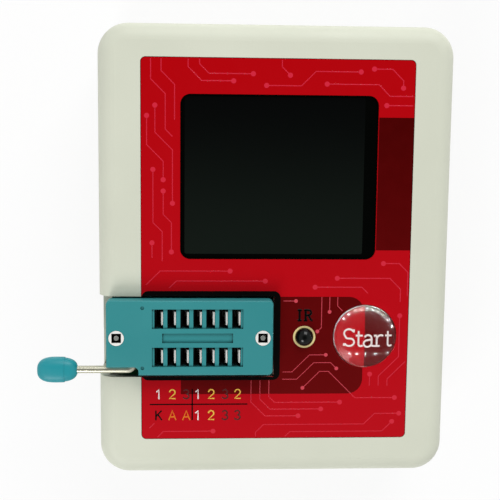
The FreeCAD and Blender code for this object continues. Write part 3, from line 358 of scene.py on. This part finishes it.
ROD_METAL = plated_metal("nickel_rod", (190, 188, 166), (226, 224, 206), (0.22, 0.4), metallic=0.8)
CORE_METAL = plated_metal("dull_rivet_core", (112, 114, 110), (146, 148, 142), (0.45, 0.6), metallic=0.3)
SCREW_METAL = plated_metal("zinc_plate", (136, 138, 140), (178, 180, 182), (0.25, 0.42))
POUCH_FOIL = plated_metal("pouch_foil", (176, 178, 181), (204, 206, 208), (0.3, 0.5), streak_scale=300.0)
LABEL_RED = printed_film("label_bright_red", (176, 4, 12), (182, 14, 26))
LABEL_DARK = printed_film("label_dark_red", (64, 0, 0), (102, 9, 11))
LABEL_BLACK = printed_film("label_black_ink", (8, 6, 6), (10, 8, 8))
LABEL_TRACE = printed_film("label_trace_ink", (206, 74, 88), (200, 70, 82))
LABEL_PALE = printed_film("label_pale_trace_ink", (206, 40, 62), (206, 44, 60))
LABEL_WHITE = printed_film("label_white_ink", (246, 236, 232), (244, 232, 228))
LABEL_YELLOW = printed_film("label_yellow_ink", (238, 190, 84), (236, 186, 78))
LABEL_ORANGE = printed_film("label_orange_ink", (226, 122, 42), (224, 116, 36))
LABEL_GREY = printed_film("label_dark_grey_ink", (92, 44, 44), (88, 40, 40))
SMOKED = smoked_window()
CLEAR = clear_acrylic()

NODE_FINISH = {
    "front_shell": IVORY, "rear_shell": IVORY, "overlay_label": LABEL_RED, "display_lens": SMOKED,
    "lcd_glass": MASK_BLACK, "lcd_backlight": WHITE_PLASTIC, "lcd_spacer": FOAM, "lcd_flex": AMBER_FLEX,
    "main_board": SOLDER_MASK, "board_screws": SCREW_METAL, "case_screws": SCREW_METAL,
    "zif_base": TEAL, "zif_cover": TEAL, "zif_slider": TEAL, "zif_contacts": BRIGHT_METAL,
    "zif_rivets": BRIGHT_METAL, "zif_lever": ROD_METAL, "zif_lever_knob": KNOB_TEAL,
    "ir_receiver": BLACK_RESIN, "ir_leads": BRIGHT_METAL,
    # The button's base is white plastic; seen in the gap round the clear cap it also gives a painted
    # highlight of the cap's rim.
    "start_button": CLEAR, "start_legend": LABEL_DARK, "start_button_base": WHITE_PLASTIC,
    "switch_base": DARK_PLASTIC, "switch_cover": SCREW_METAL, "switch_plunger": DARK_PLASTIC,
    "switch_dome": BRIGHT_METAL, "switch_legs": BRIGHT_METAL,
    "usb_shell": SCREW_METAL, "usb_tongue": DARK_PLASTIC, "charge_led": PALE_EPOXY,
    "battery_cell": POUCH_FOIL, "battery_tape": FOAM, "battery_leads": RED_WIRE,
    "mcu_chip": CHIP_EPOXY, "mcu_pins": BRIGHT_METAL, "regulator_chip": CHIP_EPOXY, "crystal": SCREW_METAL,
    "chip_resistors": CHIP_EPOXY,
}


def dress_nodes():
    """Give every carried-over node its finish."""
    for node, material in NODE_FINISH.items():
        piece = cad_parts[node]
        piece.data.materials.clear()
        piece.data.materials.append(material)


# Modelling helpers

CORNER_STEPS = 6                 # segments of a printed field's round corner


def deselect():
    """Leave edit mode and select nothing."""
    if bpy.context.object and bpy.context.object.mode != "OBJECT":
        bpy.ops.object.mode_set(mode="OBJECT")
    bpy.ops.object.select_all(action="DESELECT")


def take(piece):
    """Make one piece the only selected and active one."""
    deselect()
    piece.select_set(True)
    bpy.context.view_layer.objects.active = piece


def finish_piece(piece, name, material, body="case"):
    """Bake the piece's place into its mesh, name it, dress it and let it ride on its body."""
    take(piece)
    bpy.ops.object.transform_apply(location=True, rotation=True, scale=True)
    piece.name = name
    piece.data.name = name
    piece.data.materials.clear()
    piece.data.materials.append(material)
    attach(piece, body)
    return piece


def join(pieces):
    """One object out of several meshes."""
    deselect()
    for piece in pieces:
        piece.select_set(True)
    bpy.context.view_layer.objects.active = pieces[0]
    bpy.ops.object.join()
    return bpy.context.object


def cut_away(piece, cutter):
    """Subtract one mesh from another and drop the cutter."""
    take(piece)
    change = piece.modifiers.new("cut", "BOOLEAN")
    change.operation = "DIFFERENCE"
    change.solver = "EXACT"
    change.object = cutter
    bpy.ops.object.modifier_apply(modifier=change.name)
    bpy.data.objects.remove(cutter, do_unlink=True)


def cut_hole(piece, place, radius, vertices):
    """Cut a round hole through a piece, at a place and with a radius in metres."""
    deselect()
    bpy.ops.mesh.primitive_cylinder_add(vertices=vertices, radius=radius, depth=CUT_REACH, location=place)
    cut_away(piece, bpy.context.object)


def ink_block(left, right, bottom, top, corner, level=FIELD_LEVEL, height=INK):
    """A printed field with round corners, in millimetres on the face."""
    deselect()
    centre = ((left + right) / 2 * MM, (bottom + top) / 2 * MM, level)
    bpy.ops.mesh.primitive_plane_add(size=1.0, location=centre)
    field = bpy.context.object
    field.scale = ((right - left) * MM, (top - bottom) * MM, 1.0)
    bpy.ops.object.transform_apply(location=False, rotation=False, scale=True)
    bpy.ops.object.mode_set(mode="EDIT")
    if corner > 0:
        bpy.ops.mesh.select_all(action="SELECT")
        bpy.ops.mesh.bevel(offset=corner * MM, segments=CORNER_STEPS, affect="VERTICES")
    bpy.ops.mesh.select_all(action="SELECT")
    bpy.ops.mesh.extrude_region_move(TRANSFORM_OT_translate={"value": (0.0, 0.0, height)})
    bpy.ops.mesh.select_all(action="SELECT")
    bpy.ops.mesh.normals_make_consistent(inside=False)
    bpy.ops.object.mode_set(mode="OBJECT")
    return field


def cut_field(piece, field, corner=0.0, level=FIELD_LEVEL):
    """Cut a field in millimetres right through a print."""
    cut_away(piece, ink_block(*field, corner, level - CUT_REACH / 2, CUT_REACH))


def ink_spot(x, y, radius, level):
    """A round printed spot, in millimetres on the face."""
    deselect()
    bpy.ops.mesh.primitive_cylinder_add(vertices=20, radius=radius * MM, depth=INK,
                                        location=(x * MM, y * MM, level + INK / 2))
    return bpy.context.object


def ink_line(points, width, level=FIELD_LEVEL):
    """A printed line through points in millimetres: a fine tube pressed flat onto the label."""
    curve = bpy.data.curves.new("line", "CURVE")
    curve.dimensions = "3D"
    curve.bevel_depth = width / 2 * MM
    curve.bevel_resolution = 1
    curve.use_fill_caps = True
    spline = curve.splines.new("POLY")
    spline.points.add(len(points) - 1)
    for point, (x, y) in zip(spline.points, points):
        point.co = (x * MM, y * MM, 0.0, 1.0)
    line = bpy.data.objects.new("line", curve)
    bpy.context.collection.objects.link(line)
    take(line)
    bpy.ops.object.convert(target="MESH")
    line = bpy.context.object
    line.location.z = level
    line.scale.z = INK / (width / 2 * MM)
    bpy.ops.object.transform_apply(location=True, rotation=True, scale=True)
    return line


def arc(x, y, wide, high, start, end, steps=10):
    """Points along part of an ellipse, angles in degrees."""
    turns = [radians(start + (end - start) * step / steps) for step in range(steps + 1)]
    return [(x + wide * cos(turn), y + high * sin(turn)) for turn in turns]


# Pen strokes of the printed characters: heights from 0 to 1, widths about the middle
STROKES = {
    "1": [[(-0.22, 0.72), (0.03, 0.97), (0.03, 0.0)]],
    "2": [arc(0.0, 0.70, 0.27, 0.27, 180, -35) + [(-0.29, 0.05), (0.31, 0.05)]],
    "3": [arc(-0.02, 0.74, 0.24, 0.23, 165, -90) + arc(-0.02, 0.27, 0.29, 0.24, 90, -165)],
    "K": [[(-0.27, 0.0), (-0.27, 1.0)], [(0.30, 1.0), (-0.27, 0.38)], [(-0.06, 0.58), (0.32, 0.0)]],
    "A": [[(-0.36, 0.0), (0.0, 1.0), (0.36, 0.0)], [(-0.22, 0.34), (0.22, 0.34)]],
    "I": [[(0.0, 0.03), (0.0, 0.97)], [(-0.19, 0.03), (0.19, 0.03)], [(-0.19, 0.97), (0.19, 0.97)]],
    "R": [[(-0.22, 0.03), (-0.22, 0.97)], [(-0.38, 0.03), (-0.06, 0.03)],
          [(-0.38, 0.97), (0.02, 0.97)] + arc(0.04, 0.74, 0.23, 0.23, 90, -90) + [(-0.22, 0.51)],
          [(0.02, 0.51), (0.30, 0.03), (0.42, 0.03)]],
    "S": [arc(0.0, 0.745, 0.26, 0.235, 25, 200) + arc(-0.02, 0.51, 0.14, 0.06, 210, 270, 4)
          + arc(0.02, 0.245, 0.27, 0.225, 62, -155),
          [(0.255, 0.80), (0.275, 0.97)], [(-0.25, 0.18), (-0.27, 0.02)]],
    "t": [[(0.0, 0.88), (0.0, 0.16)] + arc(0.12, 0.14, 0.12, 0.12, 180, 330, 6),
          [(-0.15, 0.62), (0.22, 0.62)]],
    "a": [arc(-0.01, 0.46, 0.19, 0.19, 160, 0, 8) + [(0.18, 0.12)] + arc(0.27, 0.11, 0.09, 0.08, 180, 300, 5),
          [(0.18, 0.40)] + arc(-0.04, 0.17, 0.20, 0.19, 100, 300, 8) + [(0.18, 0.12)]],
    "r": [[(-0.12, 0.62), (-0.12, 0.03)], [(-0.27, 0.03), (0.05, 0.03)], [(-0.27, 0.61), (-0.12, 0.63)],
          [(-0.12, 0.42)] + arc(0.10, 0.44, 0.20, 0.20, 150, 50, 5)],
}


def ink_text(word, x, y, height, pen, level, advance=0.0, stretch=1.0):
    """Characters drawn with a pen of one width, centred on a place in millimetres."""
    lines = []
    for place, letter in enumerate(word):
        middle = x + (place - (len(word) - 1) / 2) * advance
        for stroke in STROKES[letter]:
            points = [(middle + across * height * stretch, y + (up - 0.5) * height) for across, up in stroke]
            lines.append(ink_line(points, pen, level))
    return lines


# Printed label: a generic layout in the photograph's colours and scale, in millimetres.
# A field is its left, right, bottom and top; some have the radius of their corners after these.

DARK_FIELDS = [(20.0, 26.9, 1.05, 27.25, 0.0), (-30.0, 17.9, -28.2, -8.35, 3.0)]
DARK_FIELD_CUTS = [(-40.0, 0.05, -24.75, -8.15), (-40.0, -18.7, -40.0, 0.0)]
SOCKET_BORDER = (-26.5, 1.14, -25.35, -7.2, 1.4)
SOCKET_OPENING = (-40.0, -0.1, -24.7, -8.2)
EYE_X, EYE_Y = 5.98, -16.5
EYE_HOLE = 2.26                  # radius of the hole in the dark field round the receiver
EYE_RING_INNER, EYE_RING_OUTER = 1.84, 2.24
BUTTON_HOLE = 6.45               # radius of the hole in the dark field round the button
TRACE_WIDTH = 0.2
DARK_PAD_RADIUS = 0.38
PALE_PAD_RADIUS = 0.5
DARK_TRACES = [
    [(1.7, -23.7), (3.6, -23.7), (7.1, -20.2), (10.4, -20.2)],
    [(1.7, -25.2), (4.6, -25.2), (8.0, -21.8), (11.4, -21.8), (12.6, -23.0)],
    [(1.7, -9.2), (4.2, -9.2)],
    [(9.4, -8.4), (9.4, -14.6), (8.6, -15.4)],
    [(11.0, -8.4), (11.0, -11.4)],
    [(12.6, -8.4), (12.6, -10.2), (13.6, -11.2)],
    [(5.8, -27.0), (9.2, -23.6), (11.0, -23.6), (15.6, -28.2)],
    [(-4.6, -25.4), (-4.6, -28.2)],
    [(-2.8, -25.4), (-2.8, -28.2)],
    [(-1.0, -25.4), (-1.0, -28.2)],
]
DARK_PADS = [(10.4, -20.2), (8.6, -15.4), (11.0, -11.4), (4.2, -9.2), (12.6, -23.0), (5.8, -27.0)]
PALE_TRACES = [
    [(-4.6, -28.3), (-4.6, -29.9), (-1.7, -32.8), (5.0, -32.8)],
    [(-2.8, -28.3), (-2.8, -29.3), (-0.7, -31.4), (9.6, -31.4)],
    [(-1.0, -28.3), (-1.0, -28.8), (0.2, -30.0), (13.4, -30.0)],
    [(15.7, -28.3), (16.5, -29.1), (24.6, -29.1)],
    [(-3.6, -37.1), (-3.6, -36.2), (-2.0, -34.6), (18.4, -34.6), (20.6, -32.4), (25.6, -32.4)],
    [(2.4, -37.1), (3.4, -36.1), (22.2, -36.1), (24.2, -34.1)],
    [(-23.4, -37.1), (-22.2, -35.9), (-12.2, -35.9)],
    [(-25.0, -35.2), (-24.0, -34.2)],
    [(21.2, -26.6), (21.2, -24.6), (25.2, -20.6), (25.2, -12.2)],
    [(23.0, -26.6), (23.0, -25.2), (26.6, -21.6)],
    [(19.4, -26.6), (19.4, -24.2)],
    [(25.2, -9.4), (25.2, -6.8), (23.0, -4.6), (12.4, -4.6)],
    [(26.6, -8.2), (26.6, -3.4), (24.8, -1.6), (21.6, -1.6)],
    [(8.0, -6.4), (17.4, -6.4), (18.6, -7.6)],
    [(-25.6, -6.0), (-22.8, -3.2), (-9.0, -3.2)],
    [(-21.0, -6.6), (-19.6, -5.2), (-2.0, -5.2)],
    [(-20.6, 0.6), (-20.6, 6.4), (-22.2, 8.0), (-22.2, 12.6)],
    [(-22.4, -1.2), (-22.4, 4.6), (-24.2, 6.4), (-24.2, 16.8)],
    [(-24.4, -0.6), (-24.4, 2.4)],
    [(-20.4, 10.2), (-20.4, 20.6), (-23.8, 24.0), (-23.8, 29.2)],
    [(-22.2, 14.8), (-22.2, 18.4), (-25.4, 21.6), (-25.4, 27.2)],
    [(-20.4, 23.2), (-21.8, 24.6), (-21.8, 31.4), (-24.6, 34.2), (-24.6, 38.1)],
    [(-20.0, 26.4), (-20.0, 33.2), (-22.6, 35.8), (-22.6, 38.1)],
    [(-17.4, 38.1), (-17.4, 36.6), (-14.8, 34.0), (-8.6, 34.0)],
    [(-15.2, 38.1), (-15.2, 37.2), (-13.4, 35.4), (-4.8, 35.4)],
    [(-2.2, 33.2), (4.6, 33.2), (7.4, 36.0), (16.2, 36.0)],
    [(0.8, 38.1), (0.8, 36.8), (2.4, 35.2)],
    [(9.6, 33.6), (19.8, 33.6), (22.0, 31.4), (26.6, 31.4)],
    [(18.8, 36.6), (22.4, 36.6), (24.6, 34.4), (24.6, 33.0)],
    [(21.4, 29.6), (26.6, 29.6)],
]
PALE_PADS = [
    (5.0, -32.8), (9.6, -31.4), (13.4, -30.0), (24.6, -29.1), (25.6, -32.4), (24.2, -34.1),
    (-12.2, -35.9), (25.2, -12.2), (19.4, -24.2), (12.4, -4.6), (21.6, -1.6), (8.0, -6.4), (-9.0, -3.2),
    (-2.0, -5.2), (-20.6, 0.6), (-22.2, 12.6), (-24.2, 16.8), (-24.4, 2.4), (-23.8, 29.2), (-25.4, 27.2),
    (-22.2, 14.8), (-20.4, 10.2), (-8.6, 34.0), (-4.8, 35.4), (-2.2, 33.2), (16.2, 36.0), (2.4, 35.2),
    (9.6, 33.6), (24.6, 33.0), (18.8, 36.6), (21.4, 29.6),
]
# The pin table: each ink's characters with their place across and their row
PIN_TABLE = {
    "label_digits_white": (LABEL_WHITE, [("1", -23.15, 0), ("1", -15.3, 0), ("1", -15.3, 1)]),
    "label_digits_yellow": (LABEL_YELLOW,
                            [("2", -20.4, 0), ("2", -12.6, 0), ("2", -7.3, 0), ("2", -12.6, 1)]),
    "label_digits_grey": (LABEL_GREY, [("3", -17.6, 0), ("3", -9.8, 0), ("3", -9.8, 1), ("3", -7.3, 1)]),
    "label_letters_orange": (LABEL_ORANGE, [("A", -20.4, 1), ("A", -17.6, 1)]),
    "label_letters_black": (LABEL_BLACK, [("K", -23.15, 1)]),
}
PIN_ROWS = (-28.2, -32.57)
PIN_HEIGHT = 2.0
PIN_PEN = 0.3
PIN_RULES = [(-24.9, -5.3, -30.42, -30.18, 0.0), (-16.54, -16.28, -33.55, -27.1, 0.0)]


def print_fields():
    """Dark fields with room for the receiver, the button and the socket, and the socket's black border."""
    dark = join([ink_block(*field) for field in DARK_FIELDS])
    cut_hole(dark, (EYE_X * MM, EYE_Y * MM, FIELD_LEVEL), EYE_HOLE * MM, vertices=96)
    cut_hole(dark, (CAP_MIDDLE.x, CAP_MIDDLE.y, FIELD_LEVEL), BUTTON_HOLE * MM, vertices=96)
    for field in DARK_FIELD_CUTS:
        cut_field(dark, field)
    finish_piece(dark, "label_dark_fields", LABEL_DARK)
    border = ink_block(*SOCKET_BORDER, TRACE_LEVEL)
    cut_field(border, SOCKET_OPENING)
    finish_piece(border, "label_socket_border", LABEL_BLACK)


def print_traces():
    """Circuit traces that end in round pads, on the dark fields and on the red."""
    lines = [ink_line(points, TRACE_WIDTH, TRACE_LEVEL) for points in DARK_TRACES]
    spots = [ink_spot(x, y, DARK_PAD_RADIUS, TRACE_LEVEL) for x, y in DARK_PADS]
    finish_piece(join(lines + spots), "label_dark_traces", LABEL_TRACE)
    lines = [ink_line(points, TRACE_WIDTH) for points in PALE_TRACES]
    spots = [ink_spot(x, y, PALE_PAD_RADIUS, FIELD_LEVEL) for x, y in PALE_PADS]
    finish_piece(join(lines + spots), "label_pale_traces", LABEL_PALE)


def print_marks():
    """The pin table with its rules, and the receiver's mark."""
    for name, (material, places) in PIN_TABLE.items():
        lines = []
        for letter, x, row in places:
            lines += ink_text(letter, x, PIN_ROWS[row], PIN_HEIGHT, PIN_PEN, TEXT_LEVEL)
        finish_piece(join(lines), name, material)
    rules = [ink_block(*rule, TEXT_LEVEL) for rule in PIN_RULES]
    finish_piece(join(rules), "label_rules", LABEL_BLACK)
    lines = ink_text("IR", x=5.83, y=-12.1, height=2.2, pen=0.52, level=TEXT_LEVEL, advance=1.7)
    finish_piece(join(lines), "label_eye_mark", LABEL_BLACK)


# Pieces round the window, the receiver, the button, the lever and the socket; bare lengths are millimetres

WINDOW_MASK = (-18.9, 19.9, -0.85, 31.45, 2.0)
VIEW_AREA = (-18.05, 17.3, 0.2, 31.0)
VIEW_CORNER = 0.4
PRINT_ROOM = 6 * INK             # room for the print under the clear cap
CAP_RIM = 0.18 * MM              # width of the cap's soft rim
BUTTON_PRINT_RADIUS = 6.2
WORD_LETTERS = {15.2: "S", 17.05: "t", 18.9: "a", 20.95: "r", 22.7: "t"}
WORD_Y = -16.7
KNOB_STEP = 0.12 * MM            # step where the knob's mould halves meet
KNOB_SPLIT = 0.68                # share of the knob's length that is full size
KNOB_POWER = 0.72                # under 1 makes the ball of the knob squarer
RIVET_X = {"left": -31.3, "right": -2.5}
RIVET_Y = -16.1
PIT_HALF = 0.93                  # half the width of the square socket in a rivet head
PIT_CORNER = 0.12
PIT_DEPTH = 0.25
CORE_RADIUS = 0.47               # round middle of that socket
CORE_DEPTH = 0.08


def make_window_mask():
    """Black border printed round the view area of the window."""
    mask = ink_block(*WINDOW_MASK, LENS_HIGH.z)
    cut_field(mask, VIEW_AREA, VIEW_CORNER, LENS_HIGH.z)
    finish_piece(mask, "window_mask", MASK_BLACK)


def make_eye_ring():
    """Cream ring round the receiver, in the label's hole."""
    height = LABEL_HIGH.z - LABEL_LOW.z - INK
    place = (EYE_X * MM, EYE_Y * MM, LABEL_LOW.z + height / 2)
    deselect()
    bpy.ops.mesh.primitive_cylinder_add(vertices=64, radius=EYE_RING_OUTER * MM, depth=height, location=place)
    ring = bpy.context.object
    cut_hole(ring, place, EYE_RING_INNER * MM, vertices=64)
    finish_piece(ring, "eye_ring", EYE_CREAM)


def make_button_cap():
    """Clear cap: a shallow dome on a short drum, with a soft rim."""
    rim = CAP_HIGH.z - DOME_RISE
    underside = CAP_LOW.z + PRINT_ROOM
    deselect()
    bpy.ops.mesh.primitive_uv_sphere_add(segments=160, ring_count=115, radius=BALL_RADIUS,
                                         location=BALL_MIDDLE)
    cap = bpy.context.object
    bpy.ops.object.transform_apply(location=True, rotation=True, scale=True)
    bpy.ops.object.mode_set(mode="EDIT")
    bpy.ops.mesh.select_all(action="SELECT")
    bpy.ops.mesh.bisect(plane_co=(CAP_MIDDLE.x, CAP_MIDDLE.y, rim), plane_no=(0.0, 0.0, 1.0),
                        use_fill=True, clear_inner=True, threshold=BISECT_REACH)
    bpy.ops.mesh.extrude_region_move(TRANSFORM_OT_translate={"value": (0.0, 0.0, underside - rim)})
    bpy.ops.mesh.select_all(action="SELECT")
    bpy.ops.mesh.normals_make_consistent(inside=False)
    bpy.ops.object.mode_set(mode="OBJECT")
    soften = cap.modifiers.new("rim", "BEVEL")
    soften.width = CAP_RIM
    soften.segments = 4
    soften.angle_limit = SMOOTH_ANGLE
    bpy.ops.object.modifier_apply(modifier=soften.name)
    bpy.ops.object.shade_smooth_by_angle(angle=SMOOTH_ANGLE)
    finish_piece(cap, "button_cap", CLEAR, "button")
    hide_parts("start_button")


def make_button_print():
    """Two-tone disc with the word Start, printed on the underside of the clear cap."""
    level = CAP_LOW.z
    cutter = 20 * MM
    for name, side, material in (("button_print_left", 1, LABEL_RED), ("button_print_right", -1, LABEL_DARK)):
        deselect()
        bpy.ops.mesh.primitive_cylinder_add(vertices=96, radius=BUTTON_PRINT_RADIUS * MM, depth=2 * INK,
                                            location=(CAP_MIDDLE.x, CAP_MIDDLE.y, level + INK))
        half = bpy.context.object
        bpy.ops.mesh.primitive_cube_add(size=cutter,
                                        location=(CAP_MIDDLE.x + side * cutter / 2, CAP_MIDDLE.y, level))
        cut_away(half, bpy.context.object)
        finish_piece(half, name, material, "button")
    word = []
    for x, letter in WORD_LETTERS.items():
        word += ink_text(letter, x, WORD_Y, height=3.4, pen=0.36, level=level + 2 * INK, stretch=1.05)
    finish_piece(join(word), "button_word", LABEL_WHITE, "button")


def make_knob():
    """Lever knob with soft corners and the small step where its mould halves meet."""
    middle = (KNOB_LOW + KNOB_HIGH) / 2
    size = KNOB_HIGH - KNOB_LOW
    halves = []
    for narrow, reach in ((KNOB_STEP, size.x), (0.0, KNOB_SPLIT * size.x)):
        deselect()
        bpy.ops.mesh.primitive_uv_sphere_add(segments=64, ring_count=32, radius=0.5, location=(0.0, 0.0, 0.0))
        half = bpy.context.object
        half.rotation_euler = (0.0, pi / 2, 0.0)
        bpy.ops.object.transform_apply(location=False, rotation=True, scale=False)
        for corner in half.data.vertices:
            corner.co = [abs(value) ** KNOB_POWER * (1 if value > 0 else -1) for value in corner.co * 2]
        half.scale = (size.x / 2, size.y / 2 - narrow, size.z / 2 - narrow)
        half.location = middle
        bpy.ops.object.transform_apply(location=True, rotation=True, scale=True)
        bpy.ops.object.mode_set(mode="EDIT")
        bpy.ops.mesh.select_all(action="SELECT")
        bpy.ops.mesh.bisect(plane_co=(KNOB_LOW.x + reach, middle.y, middle.z), plane_no=(1.0, 0.0, 0.0),
                            use_fill=True, clear_outer=True, threshold=BISECT_REACH)
        bpy.ops.object.mode_set(mode="OBJECT")
        bpy.ops.object.shade_smooth_by_angle(angle=SMOOTH_ANGLE)
        halves.append(half)
    knob = finish_piece(join(halves), "lever_knob", KNOB_TEAL, "lever")
    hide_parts("zif_lever_knob")


def make_rivet_pits():
    """Black sheets of painted shade on the floors of the square sockets in the two rivet heads, and the
    sockets' dull cores.
    """
    for side, x in RIVET_X.items():
        # Painted shade: a black sheet lies on the floor of each square socket, where the recess is in shade.
        pit = ink_block(x - PIT_HALF, x + PIT_HALF, RIVET_Y - PIT_HALF, RIVET_Y + PIT_HALF, PIT_CORNER,
                        COVER_TOP - PIT_DEPTH * MM)
        cut_hole(pit, (x * MM, RIVET_Y * MM, COVER_TOP), CORE_RADIUS * MM, vertices=32)
        finish_piece(pit, f"rivet_pit_shade_{side}", MASK_BLACK)
        core = ink_spot(x, RIVET_Y, CORE_RADIUS, COVER_TOP - CORE_DEPTH * MM)
        finish_piece(core, f"rivet_core_{side}", CORE_METAL)


# Camera: the photograph's place, found from the socket's pitch and the case's edges

CAMERA_TILT = (radians(7.39), radians(3.18), radians(-0.19))
CAMERA_SHIFT = Vector((5.08, -1.05, 197.56)) * MM
CAMERA_LENS = 71.8
CAMERA_SENSOR = 36.0


def make_camera():
    """The camera above the face, at the photograph's place."""
    turn = Euler(CAMERA_TILT, "XYZ").to_matrix()
    place = turn.transposed() @ Vector((-CAMERA_SHIFT.x, -CAMERA_SHIFT.y, CAMERA_SHIFT.z))
    place.z += FACE_Z
    data = bpy.data.cameras.new("photo_camera")
    data.lens = CAMERA_LENS
    data.sensor_width = CAMERA_SENSOR
    data.clip_start = MM
    camera = bpy.data.objects.new("photo_camera", data)
    bpy.context.collection.objects.link(camera)
    camera.matrix_world = Matrix.Translation(place) @ turn.transposed().to_4x4()
    bpy.context.scene.camera = camera


# Studio: lengths in metres, power in watts; the glints' places are in millimetres from the cap's middle

WORLD_STRENGTH = 0.62
DARK_CONE, PALE_CONE = 8, 40     # degrees from straight up between which the world grows pale
DARK_SHARE = 0.10                # what is left of the world's light straight up
FLOOR_SIZE = 30.0
FLOOR_GLOW = 0.85                # share of its own light in what the camera sees of the floor
SOFTBOXES = {                    # place, size and power
    "softbox_left": ((-0.20, -0.40, 0.36), 0.22, 1.3),
    "softbox_back": ((0.16, 0.56, 0.36), 0.40, 2.9),
}
STRIP_REACH = 0.4                # distance of the strip lamps from the button
STRIP_SIZE = 0.008
ROW_GLINTS_X = (-3.2, -1.75, 0.0, 2.0, 4.5)     # row of glints under the word
ROW_GLINTS_Y = -3.3
ROW_POWER = 0.8
RIM_GLINTS = (22, 38, 52, 64, 76, 88, 100, 112, 126, 140)     # degrees round the upper rim
RIM_RADIUS = 5.75
RIM_POWER = 1.5


def make_world():
    """A pale world that darkens straight overhead."""
    scene = bpy.context.scene
    scene.view_settings.view_transform = "Standard"
    scene.world = bpy.data.worlds.new("light_tent")
    scene.world.use_nodes = True
    nodes = scene.world.node_tree.nodes
    links = scene.world.node_tree.links
    place = nodes.new("ShaderNodeTexCoord")
    split = nodes.new("ShaderNodeSeparateXYZ")
    links.new(place.outputs["Generated"], split.inputs["Vector"])
    ramp = add_ramp(nodes, links, split.outputs["Z"], cos(radians(DARK_CONE)), cos(radians(PALE_CONE)))
    ramp.interpolation_type = "SMOOTHSTEP"
    ramp.inputs["To Min"].default_value = DARK_SHARE
    background = nodes["Background"]
    background.inputs["Strength"].default_value = WORLD_STRENGTH
    links.new(ramp.outputs["Result"], background.inputs["Color"])


def make_floor():
    """A wide paper floor that shows nearly white to the camera and lights the part as paper does."""
    deselect()
    bpy.ops.mesh.primitive_plane_add(size=FLOOR_SIZE, location=(0.0, 0.0, 0.0))
    floor = bpy.context.object
    floor.name = "floor"
    material, shader, nodes, links = new_material("floor_paper")
    shader.inputs["Base Color"].default_value = (0.9, 0.9, 0.9, 1.0)
    shader.inputs["Roughness"].default_value = 0.9
    shader.inputs["Specular IOR Level"].default_value = 0.0
    glow = nodes.new("ShaderNodeEmission")
    rays = nodes.new("ShaderNodeLightPath").outputs
    seen = add_math(nodes, links, "MAXIMUM", rays["Is Camera Ray"], rays["Is Transmission Ray"])
    share = add_math(nodes, links, "MULTIPLY", seen, FLOOR_GLOW)
    mix_shaders(nodes, links, share, shader.outputs["BSDF"], glow.outputs["Emission"])
    floor.data.materials.append(material)


def add_lamp(name, kind, place, power):
    """A lamp of one kind at a place."""
    data = bpy.data.lights.new(name, kind)
    data.energy = power
    lamp = bpy.data.objects.new(name, data)
    bpy.context.collection.objects.link(lamp)
    lamp.location = place
    return lamp


def mirror_spot(across, along):
    """Where a lamp stands to glint at a place on the button's dome, in millimetres from its middle."""
    normal = Vector((across * MM, along * MM, 0.0)) / BALL_RADIUS
    normal.z = (1 - normal.length_squared) ** 0.5
    place = BALL_MIDDLE + normal * BALL_RADIUS
    view = (bpy.context.scene.camera.matrix_world.translation - place).normalized()
    return place + (2 * normal.dot(view) * normal - view) * STRIP_REACH


def make_lamps():
    """Two softboxes, and strip lamps that glint on the clear cap and light nothing else."""
    for name, (place, size, power) in SOFTBOXES.items():
        lamp = add_lamp(name, "AREA", place, power)
        lamp.data.size = size
        lamp.rotation_euler = (-Vector(place)).to_track_quat("-Z", "Y").to_euler()
    strips = [(mirror_spot(across, ROW_GLINTS_Y), ROW_POWER) for across in ROW_GLINTS_X]
    for turn in RIM_GLINTS:
        place = mirror_spot(RIM_RADIUS * cos(radians(turn)), RIM_RADIUS * sin(radians(turn)))
        strips.append((place, RIM_POWER))
    cap_alone = bpy.data.collections.new("strip_lit")
    cap_alone.objects.link(bpy.data.objects["button_cap"])
    for number, (place, power) in enumerate(strips):
        lamp = add_lamp(f"strip_lamp_{number}", "POINT", place, power)
        lamp.data.shadow_soft_size = STRIP_SIZE
        lamp.light_linking.receiver_collection = cap_alone


dress_nodes()
print_fields()
print_traces()
print_marks()
make_window_mask()
make_eye_ring()
make_button_cap()
make_button_print()
make_knob()
make_rivet_pits()
make_camera()
make_world()
make_floor()
make_lamps()
